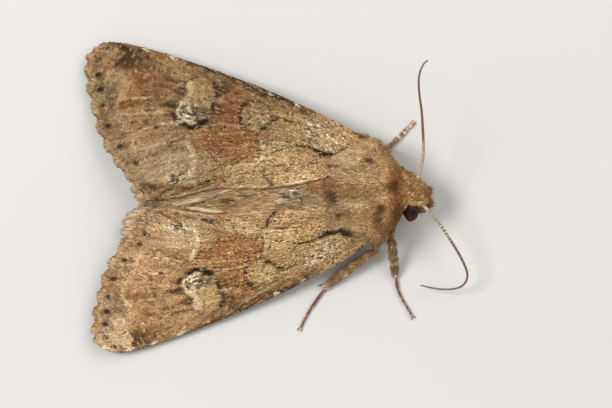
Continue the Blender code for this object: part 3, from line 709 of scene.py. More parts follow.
def leg_colour(share, part, furry=False):
    """Colours along a leg's part: reddish brown, with pale rings at the ends of its joints and painted shade
    on the shins.
    """
    rgb = plain("maroon" if part == "tarsus" else "tan", share)
    if furry:
        rgb = lay(rgb, "tan", 0.75)
    rgb = lay(rgb, "umber", 0.35 * ramp(clouds(share * 7, share * 3, 111), 0.4, 0.7))
    if part == "tibia":
        # painted shade: every shin darkened, as the shade under the wings falls on it
        rgb = lay(rgb, "umber", 0.3)
        rgb = lay(rgb, "ginger", 0.7 * ramp(clouds(share * 9, share * 2, 112), 0.45, 0.6))
        rgb = lay(rgb, "cream", 0.7 * ramp(clouds(share * 15, share * 2, 113), 0.56, 0.64))
        rgb = lay(rgb, "white", 0.9 * ramp(share, 0.88, 0.94))
    if part == "tarsus":
        for end in TARSUS_ENDS:
            rgb = lay(rgb, "white", ramp(share, end - 0.10, end - 0.06) * (1 - ramp(share, end - 0.01, end)))
    return rgb


def speckled(rgb, rng, spread=0.15, dark=0.05, pale=0.05):
    """Gives each scale its own shade, with some dark ones and, outside the dark marks, some pale ones."""
    n = rgb.shape[:-1]
    pale = pale * ramp(rgb.mean(axis=-1), 0.03, 0.16)
    pick = rng.random(n)
    rgb = rgb * np.exp(rng.normal(0, spread, n))[..., None]
    rgb = np.where((pick < dark)[..., None], rgb * 0.42, rgb)
    return np.where((pick > 1 - pale)[..., None], rgb * 1.25 + tone("cream") * 0.12, rgb)


# ---------------------------------------------------------------- materials


def node_tree(name):
    """A new material's nodes, links and shader."""
    made = bpy.data.materials.new(name)
    made.use_nodes = True
    tree = made.node_tree
    return made, tree.nodes, tree.links, tree.nodes["Principled BSDF"]


def noise_node(nodes, links, size, stretch=(1, 1, 1), detail=3.0):
    """Noise in the object's own space, with swells of this size in millimetres."""
    place = nodes.new("ShaderNodeTexCoord")
    turn = nodes.new("ShaderNodeMapping")
    turn.inputs["Scale"].default_value = stretch
    made = nodes.new("ShaderNodeTexNoise")
    made.inputs["Scale"].default_value = 1 / (size * MM)
    made.inputs["Detail"].default_value = detail
    links.new(place.outputs["Object"], turn.inputs["Vector"])
    links.new(turn.outputs["Vector"], made.inputs["Vector"])
    return made


def ranged(nodes, links, source, low, high):
    """A noise's middle range, stretched between two values."""
    made = nodes.new("ShaderNodeMapRange")
    made.inputs["From Min"].default_value = 0.3
    made.inputs["From Max"].default_value = 0.7
    made.inputs["To Min"].default_value = low
    made.inputs["To Max"].default_value = high
    links.new(source, made.inputs["Value"])
    return made.outputs["Result"]


def two_tone(nodes, links, source, low, high, places=(0.0, 1.0)):
    """A noise turned into colour, from one tone to another."""
    made = nodes.new("ShaderNodeValToRGB")
    for element, colour, place in zip(made.color_ramp.elements, (low, high), places):
        element.position = place
        element.color = (*colour, 1)
    links.new(source, made.inputs["Fac"])
    return made.outputs["Color"]


def raise_by(nodes, links, source, shader, height, strength):
    """Raises a surface by a pattern, by this height in millimetres."""
    made = nodes.new("ShaderNodeBump")
    made.inputs["Distance"].default_value = height * MM
    made.inputs["Strength"].default_value = strength
    links.new(source, made.inputs["Height"])
    links.new(made.outputs["Normal"], shader.inputs["Normal"])
    return made


def tinted_material(name, grain, spread, roughness, bump, sheen=0.0, stretch=(1, 1, 1), specular=0.3):
    """Colour from the piece's own tint, with a grain in shade, gloss and height."""
    made, nodes, links, shader = node_tree(name)
    tint = nodes.new("ShaderNodeAttribute")
    tint.attribute_name = "tint"
    grainy = noise_node(nodes, links, grain, stretch)
    shade = nodes.new("ShaderNodeVectorMath")
    shade.operation = "SCALE"
    links.new(tint.outputs["Color"], shade.inputs[0])
    links.new(ranged(nodes, links, grainy.outputs["Fac"], 1 - spread, 1 + spread), shade.inputs["Scale"])
    links.new(shade.outputs["Vector"], shader.inputs["Base Color"])
    gloss = ranged(nodes, links, grainy.outputs["Fac"], roughness - 0.08, roughness + 0.08)
    links.new(gloss, shader.inputs["Roughness"])
    raise_by(nodes, links, grainy.outputs["Fac"], shader, bump, 0.6)
    shader.inputs["Sheen Weight"].default_value = sheen
    shader.inputs["Specular IOR Level"].default_value = specular
    return made


def eye_material():
    """A dark, glossy compound eye with fine facets and a reddish bloom, its colour darkened further as
    painted shade.
    """
    made, nodes, links, shader = node_tree("compound_eye")
    place = nodes.new("ShaderNodeTexCoord")
    facets = nodes.new("ShaderNodeTexVoronoi")
    facets.inputs["Scale"].default_value = 1 / (0.03 * MM)
    links.new(place.outputs["Object"], facets.inputs["Vector"])
    bloom = noise_node(nodes, links, 0.35).outputs["Fac"]
    # the eye's own dark colour, darkened further as painted shade
    colours = two_tone(nodes, links, bloom, (0.010, 0.004, 0.002), (0.055, 0.018, 0.008), (0.38, 0.62))
    links.new(colours, shader.inputs["Base Color"])
    raise_by(nodes, links, facets.outputs["Distance"], shader, 0.004, 0.5).invert = True
    links.new(ranged(nodes, links, bloom, 0.42, 0.56), shader.inputs["Roughness"])
    shader.inputs["Specular IOR Level"].default_value = 0.10
    shader.inputs["Coat Weight"].default_value = 0.02
    shader.inputs["Coat Roughness"].default_value = 0.2
    return made


def horn_material():
    """Claws, spurs and tongue: brown horn, darker in streaks."""
    made, nodes, links, shader = node_tree("horn")
    streaks = noise_node(nodes, links, 0.06, (1, 1, 3)).outputs["Fac"]
    colours = two_tone(nodes, links, streaks, (0.05, 0.022, 0.010), (0.22, 0.115, 0.055), (0.35, 0.7))
    links.new(colours, shader.inputs["Base Color"])
    links.new(ranged(nodes, links, streaks, 0.28, 0.42), shader.inputs["Roughness"])
    return made


def floor_material():
    """A plain pale studio floor."""
    made, nodes, links, shader = node_tree("pale_floor")
    swells = noise_node(nodes, links, 40.0).outputs["Fac"]
    colours = two_tone(nodes, links, swells, (0.46, 0.45, 0.435), (0.50, 0.49, 0.475))
    links.new(colours, shader.inputs["Base Color"])
    shader.inputs["Roughness"].default_value = 0.9
    return made


# ---------------------------------------------------------------- making pieces

PLACE = Matrix.Translation(Vector(ORIGIN)) @ Matrix.Scale(MM, 4)


def in_scene(name, data):
    """A new object in the scene."""
    made = bpy.data.objects.new(name, data)
    bpy.context.scene.collection.objects.link(made)
    return made


def as_piece(mesh, name, slot, material, replaced=()):
    """Puts a mesh in body millimetres into the model, as a piece that stands for some solids."""
    mesh.transform(PLACE)
    mesh.materials.append(material)
    mesh.shade_smooth()
    piece = in_scene(name, mesh)
    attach(piece, "root")
    if replaced:
        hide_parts(*replaced)
    return piece


def mesh_from(bm, name):
    """A bmesh as a mesh with its faces outwards."""
    bmesh.ops.recalc_face_normals(bm, faces=bm.faces)
    mesh = bpy.data.meshes.new(name)
    bm.to_mesh(mesh)
    bm.free()
    return mesh


def set_tint(mesh, rgb):
    """Colours a mesh's vertices."""
    layer = mesh.attributes.new("tint", "FLOAT_COLOR", "POINT")
    rgba = np.ones((len(mesh.vertices), 4), np.float32)
    rgba[:, :3] = rgb
    layer.data.foreach_set("color", rgba.ravel())


def vertex_places(mesh):
    """A mesh's corners, one row each."""
    co = np.empty(len(mesh.vertices) * 3, np.float32)
    mesh.vertices.foreach_get("co", co)
    return co.reshape(-1, 3).astype(float)


def plate(name, grid, layout, thickness):
    """A thin curved plate: layout gives the points of a grid their places and colours."""
    bm = bmesh.new()
    bmesh.ops.create_grid(bm, x_segments=grid[0], y_segments=grid[1], size=0.5)
    shares = np.array([vert.co for vert in bm.verts]) + 0.5
    layer = bm.verts.layers.float_color.new("tint")
    for vert, place, tint in zip(bm.verts, *layout(shares[:, 0], shares[:, 1])):
        vert.co = place
        vert[layer] = (*tint, 1.0)
    made = bmesh.ops.extrude_face_region(bm, geom=bm.faces[:], use_keep_orig=True)
    lower = [part for part in made["geom"] if isinstance(part, bmesh.types.BMVert)]
    bmesh.ops.translate(bm, vec=(0, 0, -thickness), verts=lower)
    return mesh_from(bm, name)


# One scale or hair: corners as (along, across, height) and its triangles.
WING_SCALE = (
    ((0, 0, 0), (0.5, 1, 0), (0.95, 0.72, 0), (0.95, -0.72, 0), (0.5, -1, 0), (0.6, 0, 1)),
    ((0, 1, 5), (1, 2, 5), (2, 3, 5), (3, 4, 5), (4, 0, 5), (0, 4, 3), (0, 3, 2), (0, 2, 1)),
)
HAIR = (
    (
        (0, 0, 0), (0.35, 1, 0), (0.35, -1, 0), (0.35, 0, 1),
        (0.78, 0.8, 0), (0.78, -0.8, 0), (0.78, 0, 0.8), (1, 0, 0),
    ),
    (
        (0, 1, 3), (0, 3, 2), (0, 2, 1), (1, 4, 6), (1, 6, 3), (3, 6, 5), (3, 5, 2), (2, 5, 4),
        (2, 4, 1), (4, 7, 6), (6, 7, 5), (5, 7, 4),
    ),
)
BRISTLE = (
    ((0, 0, 0), (0.45, 1, 0), (0.45, -1, 0), (0.45, 0, 1), (1, 0, 0)),
    ((0, 1, 3), (0, 3, 2), (0, 2, 1), (1, 4, 3), (3, 4, 2), (2, 4, 1)),
)
PATCH = 0.003  # width of one scale's place on its unwrap


def strands(shape, root, lie, normal, length, width, thick, lift, hug=0.0, sway=0.0):
    """Corners of many scales or hairs, each from its root along its lie.

    Lift raises it by a share of its length, hug bends it down to a round surface, and sway
    bends it sideways.
    """
    a, b, c = np.array(shape[0], float).T
    n = len(root)
    length, width, thick, lift, hug, sway = (
        np.broadcast_to(value, n)[:, None] for value in (length, width, thick, lift, hug, sway)
    )
    beside = unit(np.cross(normal, lie))
    forward = length * a
    sideways = width / 2 * b + sway * length * a * a
    up = thick * c + length * (lift * a + hug * a * a)
    return (
        root[:, None] + forward[..., None] * lie[:, None] + sideways[..., None] * beside[:, None]
        + up[..., None] * normal[:, None]
    )


def shaded(shape, rgb, root=0.72, tip=1.12):
    """Colours of every corner of every scale, darker at the root and paler at the tip."""
    a = np.array(shape[0], float)[:, 0]
    return rgb[:, None] * (root + (tip - root) * a)[None, :, None]


def coat_piece(name, slot, material, shape, corners, rgb, unwrapped):
    """Joins many scales or hairs into one piece, each on its own patch of the unwrap."""
    n, k, _ = corners.shape
    triangles = np.array(shape[1], np.int32)
    index = (triangles[None] + k * np.arange(n, dtype=np.int32)[:, None, None]).ravel()
    mesh = bpy.data.meshes.new(name)
    mesh.vertices.add(n * k)
    mesh.vertices.foreach_set("co", corners.astype(np.float32).ravel())
    mesh.loops.add(len(index))
    mesh.loops.foreach_set("vertex_index", index)
    mesh.polygons.add(len(index) // 3)
    mesh.polygons.foreach_set("loop_start", np.arange(0, len(index), 3, dtype=np.int32))
    a, b, _ = np.array(shape[0], float).T
    low, high = unwrapped.min(axis=0), unwrapped.max(axis=0)
    unwrapped = unwrap(*((unwrapped - low) / (high - low)).T)
    patch = np.stack([a - 0.5, b / 2], 1) * PATCH
    uv = (unwrapped[:, None] + patch[None]).reshape(-1, 2)[index]
    mesh.uv_layers.new(name="OFBake").uv.foreach_set("vector", uv.astype(np.float32).ravel())
    set_tint(mesh, rgb.reshape(-1, 3))
    mesh.update(calc_edges=True)
    return as_piece(mesh, name, slot, material)


def unwrap(first, second):
    """Two shares between 0 and 1 as a place inside the unwrap's margins."""
    return 0.03 + 0.94 * np.stack([np.clip(first, 0, 1), np.clip(second, 0, 1)], -1)


# ---------------------------------------------------------------- wings


def roof(x, y, side):
    """Height of a forewing's upper surface over a point of the floor plan."""
    ridge = RIDGE_TOP - RIDGE_FALL * (x - RIDGE_START) ** 2
    fall = SIDE_FALL[side] + SIDE_EASE[side] * (x - SIDE_START)
    return ridge - np.maximum(fall, 0) * np.abs(y) ** SIDE_POWER


def patch_point(edges, s, t):
    """A wing's (u, v): s runs from base to outer edge, t from the tail side to the leading edge."""
    costa, dorsum, termen = (np.array(edge, float) for edge in edges)
    s1, t1 = s[..., None], t[..., None]
    base = dorsum[0] + (costa[0] - dorsum[0]) * t1
    sides = curve(dorsum, s) * (1 - t1) + curve(costa, s) * t1
    ends = base * (1 - s1) + curve(termen, t) * s1
    corners = base * (1 - s1) + (termen[0] + (termen[-1] - termen[0]) * t1) * s1
    return np.moveaxis(sides + ends - corners, -1, 0)


def wing_surface(side, heading, depth, stretch=1.0, relief=None):
    """A function that gives the place of a wing's (u, v), this far under the roof."""
    turn = math.radians(heading[side])

    def surface(u, v):
        behind = np.minimum(v, 0)
        out = (u + SWEEP[side] * behind) * stretch
        across = np.where(v < 0, v * REACH[side], v)
        x = FOREWING_HINGE[0] - out * math.cos(turn) + across * math.sin(turn)
        y = FOREWING_HINGE[1] + out * math.sin(turn) + across * math.cos(turn)
        y = side_sign(side) * np.maximum(y, MIDLINE_ROOM)
        raised = relief(u, v) if relief else 0.0
        return np.stack([x, y, roof(x, y, side) - depth + raised], -1)

    return surface


def vein_relief(u, v):
    """Fine ridges along the forewing's veins, and the long furrow behind them."""
    lane = vein_coordinate(u, v)
    ridges = 0.5 + 0.5 * np.cos(lane * 2 * math.pi / 0.85)
    furrow = stroke(u, v, ((1.2, -1.2), (4.0, -2.3), (8.0, -3.75), (12.6, -5.6)), 0.5, 0.9)
    swell = clouds(u * 0.9, lane * 0.9, 121) - 0.5
    return 0.035 * ridges**3 * ramp(u, 2, 6) - 0.07 * furrow + 0.10 * swell


def vein_slope(v):
    """How steeply the veins run across the wing."""
    return np.clip(0.17 * v - 0.03, -0.75, 0.15)


def wing_frame(surface, u, v, slope):
    """Places, directions out along the veins, and upward normals."""
    step = 0.02
    at = surface(u, v)
    out = unit(surface(u + step, v + step * slope) - at)
    normal = unit(np.cross(out, surface(u, v + step) - at))
    return at, out, normal * np.sign(normal[:, 2:])


def inside(outline, u, v):
    """Whether points lie inside a closed outline."""
    odd = np.zeros(u.shape, bool)
    for (u0, v0), (u1, v1) in zip(outline, np.roll(outline, -1, axis=0)):
        if v0 != v1:
            odd ^= ((v0 > v) != (v1 > v)) & (u < u0 + (v - v0) * (u1 - u0) / (v1 - v0))
    return odd


def wing_outline(edges, end):
    """The outline of a wing's skin, without its fringe."""
    run = np.linspace(0, 1, 60)
    zero, one = np.zeros(60), np.ones(60)
    legs = ((run * end, zero + 0.02), (one * end, run), (run[::-1] * end, one), (zero, run[::-1]))
    return np.concatenate([patch_point(edges, s, t).T for s, t in legs])


Wing = namedtuple("Wing", "name side slot edges end top under colour")


def membrane(wing, grid, material):
    """A wing's skin: a thin curved plate with the same markings as its scales."""

    def layout(s, t):
        u, v = patch_point(wing.edges, s * wing.end, 0.02 + 0.97 * t)
        return wing.top(u, v), wing.colour(u, v, wing.side)

    name = f"{wing.name}_skin_{wing.side}"
    mesh = plate(name, grid, layout, MEMBRANE_THICKNESS)
    as_piece(mesh, name, wing.slot, material, [f"{wing.name}_{wing.side}"])


def wing_flat(u, v):
    """Unwraps a wing's places, seen from above."""
    return unwrap(u / FIELD_END, (v - FIELD_BACK) / (FIELD_FRONT - FIELD_BACK))


def wing_scales(wing, material, seed, pitch, size, below=False):
    """Overlapping scales over one face of a wing, in rows across the veins."""
    rng = np.random.default_rng(seed)
    surface, colour = (wing.under, underside_colour) if below else (wing.top, wing.colour)
    rows = np.arange(0.4, FIELD_END, pitch[0])
    cols = np.arange(FIELD_BACK, FIELD_FRONT, pitch[1])
    u, v = np.meshgrid(rows, cols, indexing="ij")
    v = v + (np.arange(len(rows)) % 2)[:, None] * pitch[1] / 2
    u = (u + rng.uniform(-0.35, 0.35, u.shape) * pitch[0]).ravel()
    v = (v + rng.uniform(-0.35, 0.35, v.shape) * pitch[1]).ravel()
    keep = inside(wing_outline(wing.edges, wing.end), u, v)
    u, v = u[keep], v[keep]
    n = len(u)
    slope = vein_slope(v) + rng.normal(0, 0.10, n)
    at, out, normal = wing_frame(surface, u, v, slope)
    if below:
        normal = -normal
    length = size[0] * rng.uniform(0.85, 1.2, n)
    width = size[1] * rng.uniform(0.8, 1.15, n)
    lift = rng.normal(0.16, 0.05, n)
    sway = rng.normal(0, 0.08, n)
    corners = strands(
        WING_SCALE, at, out, normal, length, width, thick=SCALE_THICKNESS, lift=lift, hug=-0.06, sway=sway,
    )
    clump = clouds(u * 1.1, v * 1.6, seed + 31)
    busy = 1 - 0.4 * ramp(u, 7, 12)
    dark = busy * (0.06 + 0.20 * ramp(clump, 0.56, 0.8))
    pale = 0.05 + 0.11 * ramp(1 - clump, 0.5, 0.8)
    tip = 0.6 * length
    rgb = speckled(colour(u + tip, v + tip * slope, wing.side), rng, 0.23 * busy, dark, pale)
    name = f"{wing.name}_{'under_' if below else ''}scales_{wing.side}"
    tints = shaded(WING_SCALE, rgb, 0.8, 1.08)
    coat_piece(name, wing.slot, material, WING_SCALE, corners, tints, wing_flat(u, v))


def fringe(wing, material, seed, per_row, overshoot, tones):
    """Hair scales along a wing's outer and tail-side edges, scalloped between the veins."""
    rng = np.random.default_rng(seed)
    parts = []
    n = per_row
    for row in range(FRINGE_ROWS):
        t = (np.arange(n) + rng.random(n)) / n
        scallop = np.abs(np.sin(math.pi * VEINS * t)) ** 0.8
        start = wing.end - 0.008 - 0.005 * row
        finish = wing.end + overshoot + 0.034 * scallop - 0.004 * row + rng.normal(0, 0.005, n)
        parts.append((start + t * 0, t, finish, t + rng.normal(0, 0.004, n)))
        s = 0.12 + 0.88 * (np.arange(n) + rng.random(n)) / n
        reach = -0.008 - 0.055 * ramp(s, 0.12, 0.2) * (1 - ramp(s, 0.45, 0.6)) * rng.random(n)
        parts.append((s * wing.end, 0.03 + s * 0, s * wing.end + 0.022, reach + rng.normal(0, 0.006, n)))
    s0, t0, s1, t1 = (np.concatenate(column) for column in zip(*parts))
    u0, v0 = patch_point(wing.edges, s0, t0)
    u1, v1 = patch_point(wing.edges, s1, np.maximum(t1, -0.08))
    far, past = np.hypot(u1 - u0, v1 - v0), 9 * np.maximum(s1 - 1, 0)
    u1, v1 = u1 + (u1 - u0) / far * past, v1 + (v1 - v0) / far * past
    at, tip = wing.top(u0, v0), wing.top(u1, v1)
    _, _, normal = wing_frame(wing.top, u0, v0, vein_slope(v0))
    lie = tip - at
    length = np.linalg.norm(lie, axis=1)
    lie = unit(lie)
    n = len(length)
    corners = strands(
        HAIR, at + normal * rng.uniform(-0.06, 0.02, n)[:, None], lie, normal, length,
        width=rng.uniform(0.05, 0.09, n), thick=0.02, lift=rng.normal(0.01, 0.02, n), hug=-0.03,
        sway=rng.normal(0, 0.06, n),
    )
    share = np.array(HAIR[0], float)[:, 0]
    out = share * np.ones((n, 1))
    u, v = u0[:, None] + (u1 - u0)[:, None] * share, v0[:, None] + (v1 - v0)[:, None] * share
    rgb = wing.colour(u, v, wing.side)
    checks = ramp(np.sin(2 * math.pi * VEINS * t0 + 0.8), -0.2, 0.5)[:, None] * ramp(out, 0.3, 0.6)
    rgb = lay(rgb, tones[0], 0.45 * checks)
    rgb = lay(rgb, tones[1], 0.30 * (ramp(out, 0.3, 0.6) - checks))
    rgb = rgb * np.exp(rng.normal(0, 0.22, n))[:, None, None]
    name = f"{wing.name}_fringe_{wing.side}"
    coat_piece(name, wing.slot, material, HAIR, corners, rgb, wing_flat(u0, v0))


def edge_scales(wing, material, seed):
    """Scales that wrap a wing's leading edge, lying along it."""
    rng = np.random.default_rng(seed)
    n = EDGE_SCALES
    s, t = rng.uniform(0.01, 0.985, n), np.full(n, 0.995)
    u, v = patch_point(wing.edges, s, t)
    u1, v1 = patch_point(wing.edges, np.minimum(s + 0.01, 1.0), t)
    at, ahead = wing.top(u, v), wing.top(u1, v1)
    lie = unit(ahead - at)
    outward = np.cross(lie, UP) * -side_sign(wing.side)
    tilt = rng.uniform(-0.2 * math.pi, 0.75 * math.pi, n)
    normal = tangent(outward * np.sin(tilt)[:, None] + UP * np.cos(tilt)[:, None], lie)
    middle = at - UP * MEMBRANE_THICKNESS / 2
    root = middle + normal * MEMBRANE_THICKNESS * 0.42
    length = rng.uniform(0.17, 0.26, n)
    corners = strands(
        WING_SCALE, root, lie, normal, length, width=0.09, thick=SCALE_THICKNESS,
        lift=rng.uniform(0.05, 0.2, n),
    )
    rgb = speckled(wing.colour(u, v, wing.side), rng, spread=0.2, dark=0.1, pale=0.06)
    name = f"{wing.name}_edge_scales_{wing.side}"
    flat = unwrap(u / FIELD_END, 0.5 + tilt / (2 * math.pi))
    coat_piece(name, wing.slot, material, WING_SCALE, corners, shaded(WING_SCALE, rgb, 0.8, 1.05), flat)


def build_wings(side, materials):
    """Both wings of one side: skins, scales above and below, and fringes."""
    depths = np.array((MEMBRANE_DEPTH, MEMBRANE_DEPTH + MEMBRANE_THICKNESS))
    fore = Wing("forewing", side, "wing", FOREWING, FRINGE_START, *(
        wing_surface(side, FOREWING_HEADING, depth, relief=vein_relief) for depth in depths
    ), forewing_colour)
    hind = Wing("hindwing", side, "hindwing", HINDWING, HIND_FRINGE_START, *(
        wing_surface(side, HINDWING_HEADING, HINDWING_DROP + depth, HINDWING_STRETCH[side])
        for depth in depths
    ), hindwing_colour)
    seed = on(side, (10, 20))
    scale, hair, skin = materials["scale"], materials["hair"], materials["membrane"]
    membrane(fore, (150, 70), skin)
    membrane(hind, (60, 40), skin)
    wing_scales(fore, scale, seed, pitch=(0.082, 0.058), size=(0.17, 0.085))
    wing_scales(fore, scale, seed + 1, pitch=(0.13, 0.10), size=(0.24, 0.14), below=True)
    wing_scales(hind, scale, seed + 2, pitch=(0.13, 0.09), size=(0.24, 0.12))
    wing_scales(hind, scale, seed + 3, pitch=(0.15, 0.11), size=(0.26, 0.15), below=True)
    edge_scales(fore, scale, seed + 6)
    fringe(fore, hair, seed + 4, per_row=620, overshoot=0.006, tones=("umber", "cream"))
    fringe(hind, hair, seed + 5, per_row=460, overshoot=0.035, tones=("fawn", "white"))


# The stretch of the hindwings' inner folds that shows: its start, length and half width.
SADDLE_START, SADDLE_LENGTH, SADDLE_HALF = -1.6, 10.2, 1.05
# Middle lines and half widths of the two pale folds of the hindwings that show between the forewings.
FOLDS = (
    (
        ((-6.87, 0.58), (-7.8, 0.42), (-9.0, 0.08), (-10.2, -0.15), (-11.2, -0.2)),
        (0.03, 0.15, 0.22, 0.16, 0.04),
    ),
    (
        ((-7.73, -0.80), (-8.3, -0.74), (-8.9, -0.64), (-9.96, -0.45)),
        (0.03, 0.11, 0.12, 0.04),
    ),
)
# Marks of the hindwings' inner folds, seen from above, behind their speckled patch.
SADDLE_MARKS = (
    ("umber", 0.5, spot((-2.75, -0.3), (0.8, 0.45), 0, 0.6)),
    ("fawn", 0.7, spot((-6.6, -0.2), (1.1, 0.45))),
    ("ginger", 0.4, spot((-5.4, -0.3), (0.7, 0.3))),
    ("soot", 0.6, line(((-5.4, 0.15), (-6.4, 0.0)), 0.14)),
    ("umber", 0.95, spot((-7.22, -0.19), (0.24, 0.16), 0, 0.4)),
    # painted shadow under the left forewing's inner edge
    ("soot", 0.75, line(((-7.4, 0.68), (-8.3, 0.62), (-9.6, 0.30), (-11.3, -0.02)), 0.16)),
    # painted shadow under the first pale fold
    ("soot", 0.75, line(((-7.69, 0.22), (-8.6, -0.10), (-9.39, -0.34)), 0.14)),
    # painted shadow under the second pale fold
    ("umber", 0.7, line(((-7.8, -0.95), (-9.0, -0.82), (-9.9, -0.6)), 0.14)),
    ("umber", 0.6, spot((-11.5, -0.25), (0.5, 0.22), 0, 0.6)),
)


def saddle_colour(x, y):
    """Colours of the hindwings' inner folds, which close the gap between the forewings."""
    streak = clouds(x * 0.9, y * 5, 131)
    grainy = noise(x * 8, y * 8, 133)
    rgb = plain("tan", x)
    rgb = lay(rgb, "cream", 0.7 * ramp(clouds(x * 0.8, y * 1.5, 134), 0.35, 0.6))
    rgb = lay(rgb, "fawn", 0.6 * ramp(-x, 8.8, 9.8))
    rgb = lay(rgb, "orange", 0.7 * oval(x, y, (-2.1, 0.4), (0.6, 0.55), 0, 0.6))
    rgb = lay(rgb, "umber", 0.35 * ramp(streak, 0.55, 0.8))
    rgb = lay(rgb, "cream", 0.35 * ramp(1 - streak, 0.55, 0.8))
    patch = oval(x, y, (-3.55, 0.05), (0.9, 0.52), 0, 0.4)
    rgb = lay(rgb, "grey", 0.55 * patch)
    rgb = lay(rgb, "soot", 0.75 * patch * ramp(grainy, 0.62, 0.74))
    rgb = lay(rgb, "white", 0.5 * patch * ramp(1 - grainy, 0.48, 0.64))
    return paint(rgb, x, y, SADDLE_MARKS)


def saddle(x, y, depth):
    """Places this far under the roof."""
    return np.stack([x, y, roof(x, y, "left") - depth], -1)


def build_saddle(materials):
    """The hindwings' inner edges between the forewings: skin, scales, hair and two pale folds."""
    rng = np.random.default_rng(140)

    def layout(s, t):
        x, y = SADDLE_START - SADDLE_LENGTH * s, (2 * t - 1) * SADDLE_HALF
        return saddle(x, y, 0.40), saddle_colour(x, y)

    mesh = plate("wing_edge_skin", (120, 24), layout, 0.1)
    as_piece(mesh, "wing_edge_skin", "hindwing", materials["membrane"])
    coats = (  # shape, count, range of length, of width and of lift, and depth
        ("wing_edge_scales", WING_SCALE, 4200, (0.16, 0.24), (0.09, 0.12), (0.08, 0.2), 0.40),
        ("wing_edge_hair", BRISTLE, 2600, (0.35, 0.8), (0.04, 0.07), (0.05, 0.25), 0.42),
    )
    for name, shape, n, long, wide, rise, depth in coats:
        x, y = rng.uniform(-11.7, -1.7, n), rng.uniform(-1.03, 1.03, n)
        normal = np.broadcast_to(UP, (n, 3))
        lie = tangent(np.stack([-1 + 0 * x, -0.08 * y + rng.normal(0, 0.10, n), 0 * x], -1), normal)
        corners = strands(
            shape, saddle(x, y, depth), lie, normal, rng.uniform(*long, n), rng.uniform(*wide, n),
            thick=0.02, lift=rng.uniform(*rise, n), hug=-0.05,
        )
        rgb = speckled(saddle_colour(x, y), rng, spread=0.2, dark=0.1, pale=0.1)
        flat = unwrap((x - SADDLE_START) / SADDLE_LENGTH + 1, (y / SADDLE_HALF + 1) / 2)
        coat_piece(name, "hindwing", materials["hair"], shape, corners, shaded(shape, rgb, 0.85, 1.08), flat)

    bm = bmesh.new()
    for path, half in FOLDS:
        path = np.array(path)
        middle = saddle(path[:, 0], path[:, 1], 0.27)
        add_tube(bm, limb_surface(middle, [(width, 0.02 + 0.3 * width) for width in half]), 80, 14)
    mesh = mesh_from(bm, "wing_folds")
    p = vertex_places(mesh)
    path = np.array(FOLDS[0][0])[::-1]
    off = p[:, 1] - np.interp(p[:, 0], path[:, 0], path[:, 1])
    rgb = plain("tan", p[:, 0])
    rgb = lay(rgb, "grey", 0.75)
    rgb = lay(rgb, "white", 0.45 * (1 - ramp(off, -0.05, 0.02)))
    rgb = lay(rgb, "umber", 0.5 * ramp(noise(p[:, 0] * 0.6, off * 40, 141), 0.6, 0.8))
    # painted shadow along the upper edge of the first fold, under the left forewing's edge
    set_tint(mesh, lay(rgb, "umber", 0.7 * ramp(off, 0.14, 0.22)))
    as_piece(mesh, "wing_folds", "hindwing", materials["membrane"])


# ---------------------------------------------------------------- body surfaces


def rounded_ends(share, sharpness=0.03):
    """1 along a limb, falling to 0 at its two ends."""
    return np.sqrt(np.clip(np.minimum(share, 1 - share) / sharpness, 0, 1))


def coat_depth(x):
    """How thick the coat is at a place along the body."""
    front, back = ramp(x, 2.2, 2.8), ramp(-x, 2.0, 2.8)
    thorax, head, abdomen = (COAT_DEPTH[part] for part in ("thorax", "head", "abdomen"))
    return thorax * (1 - front) * (1 - back) + head * front + abdomen * back


def head_turn(points):
    """Rolls the head about the neck, easing in behind it."""
    pivot = np.array(HEAD_PIVOT)
    angle = math.radians(HEAD_ROLL) * ramp(points[:, 0], 2.45, 2.75)
    c, s = np.cos(angle), np.sin(angle)
    y, z = points[:, 1] - pivot[1], points[:, 2] - pivot[2]
    return np.stack([points[:, 0], y * c - z * s + pivot[1], y * s + z * c + pivot[2]], -1)


def body_surface(share, angle):
    """The trunk's skin, from face to tail."""
    x, z, width, height = curve(BODY, share).T
    depth = coat_depth(x)
    end = rounded_ends(share)
    width, height = (width - depth) * end, (height - depth) * end
    return head_turn(np.stack([x, width * np.cos(angle), z + height * np.sin(angle)], -1))


def limb_surface(path, radii, inset=0.0, roll=0.0, sharpness=0.03):
    """A function that gives the places on a limb's skin."""
    path = np.array(path, float)
    radii = np.array(radii, float)
    if radii.ndim == 1:
        radii = np.stack([radii, radii], 1)

    def surface(share, angle):
        centre = curve(path, share)
        forward = unit(curve(path, np.minimum(share + 0.01, 1)) - curve(path, np.maximum(share - 0.01, 0)))
        across = unit(np.cross(UP, forward))
        upright = np.cross(forward, across)
        size = np.maximum(curve(radii, share) - inset, 0.02) * rounded_ends(share, sharpness)[:, None]
        a, b = size[:, 0] * np.cos(angle), size[:, 1] * np.sin(angle)
        c, s = math.cos(roll), math.sin(roll)
        return centre + (a * c - b * s)[:, None] * across + (a * s + b * c)[:, None] * upright

    return surface


def tegula_surface(side):
    """The skin of a shoulder flap."""
    path = mirrored([place for place, _, _ in TEGULA], side)
    radii = [(width, thick) for _, width, thick in TEGULA]
    tilt = math.radians(TEGULA_TILT) * side_sign(side)
    return limb_surface(path, radii, COAT_DEPTH["tegula"], tilt, 0.08)


def palp_surface(side):
    """The skin of a palp, which turns with the head."""
    inner = limb_surface(mirrored(PALP, side), PALP_RADII, COAT_DEPTH["palp"], 0.0, 0.1)
    return lambda share, angle: head_turn(inner(share, angle))


def tarsus_radii(steps=61):
    """Radii along a foot of five joints, each wider at its end."""
    share = np.linspace(0, 1, steps)
    start = 0.0
    radii = np.empty(steps)
    for end in TARSUS_ENDS:
        part = (share >= start) & (share <= end)
        radii[part] = 0.072 + 0.028 * ((share[part] - start) / (end - start)) ** 1.5
        start = end
    return radii * np.linspace(1.1, 0.9, steps)


def straight(start, end):
    """The start, middle and end of a straight limb."""
    return start, tuple(a + (b - a) * 0.5 for a, b in zip(start, end)), end


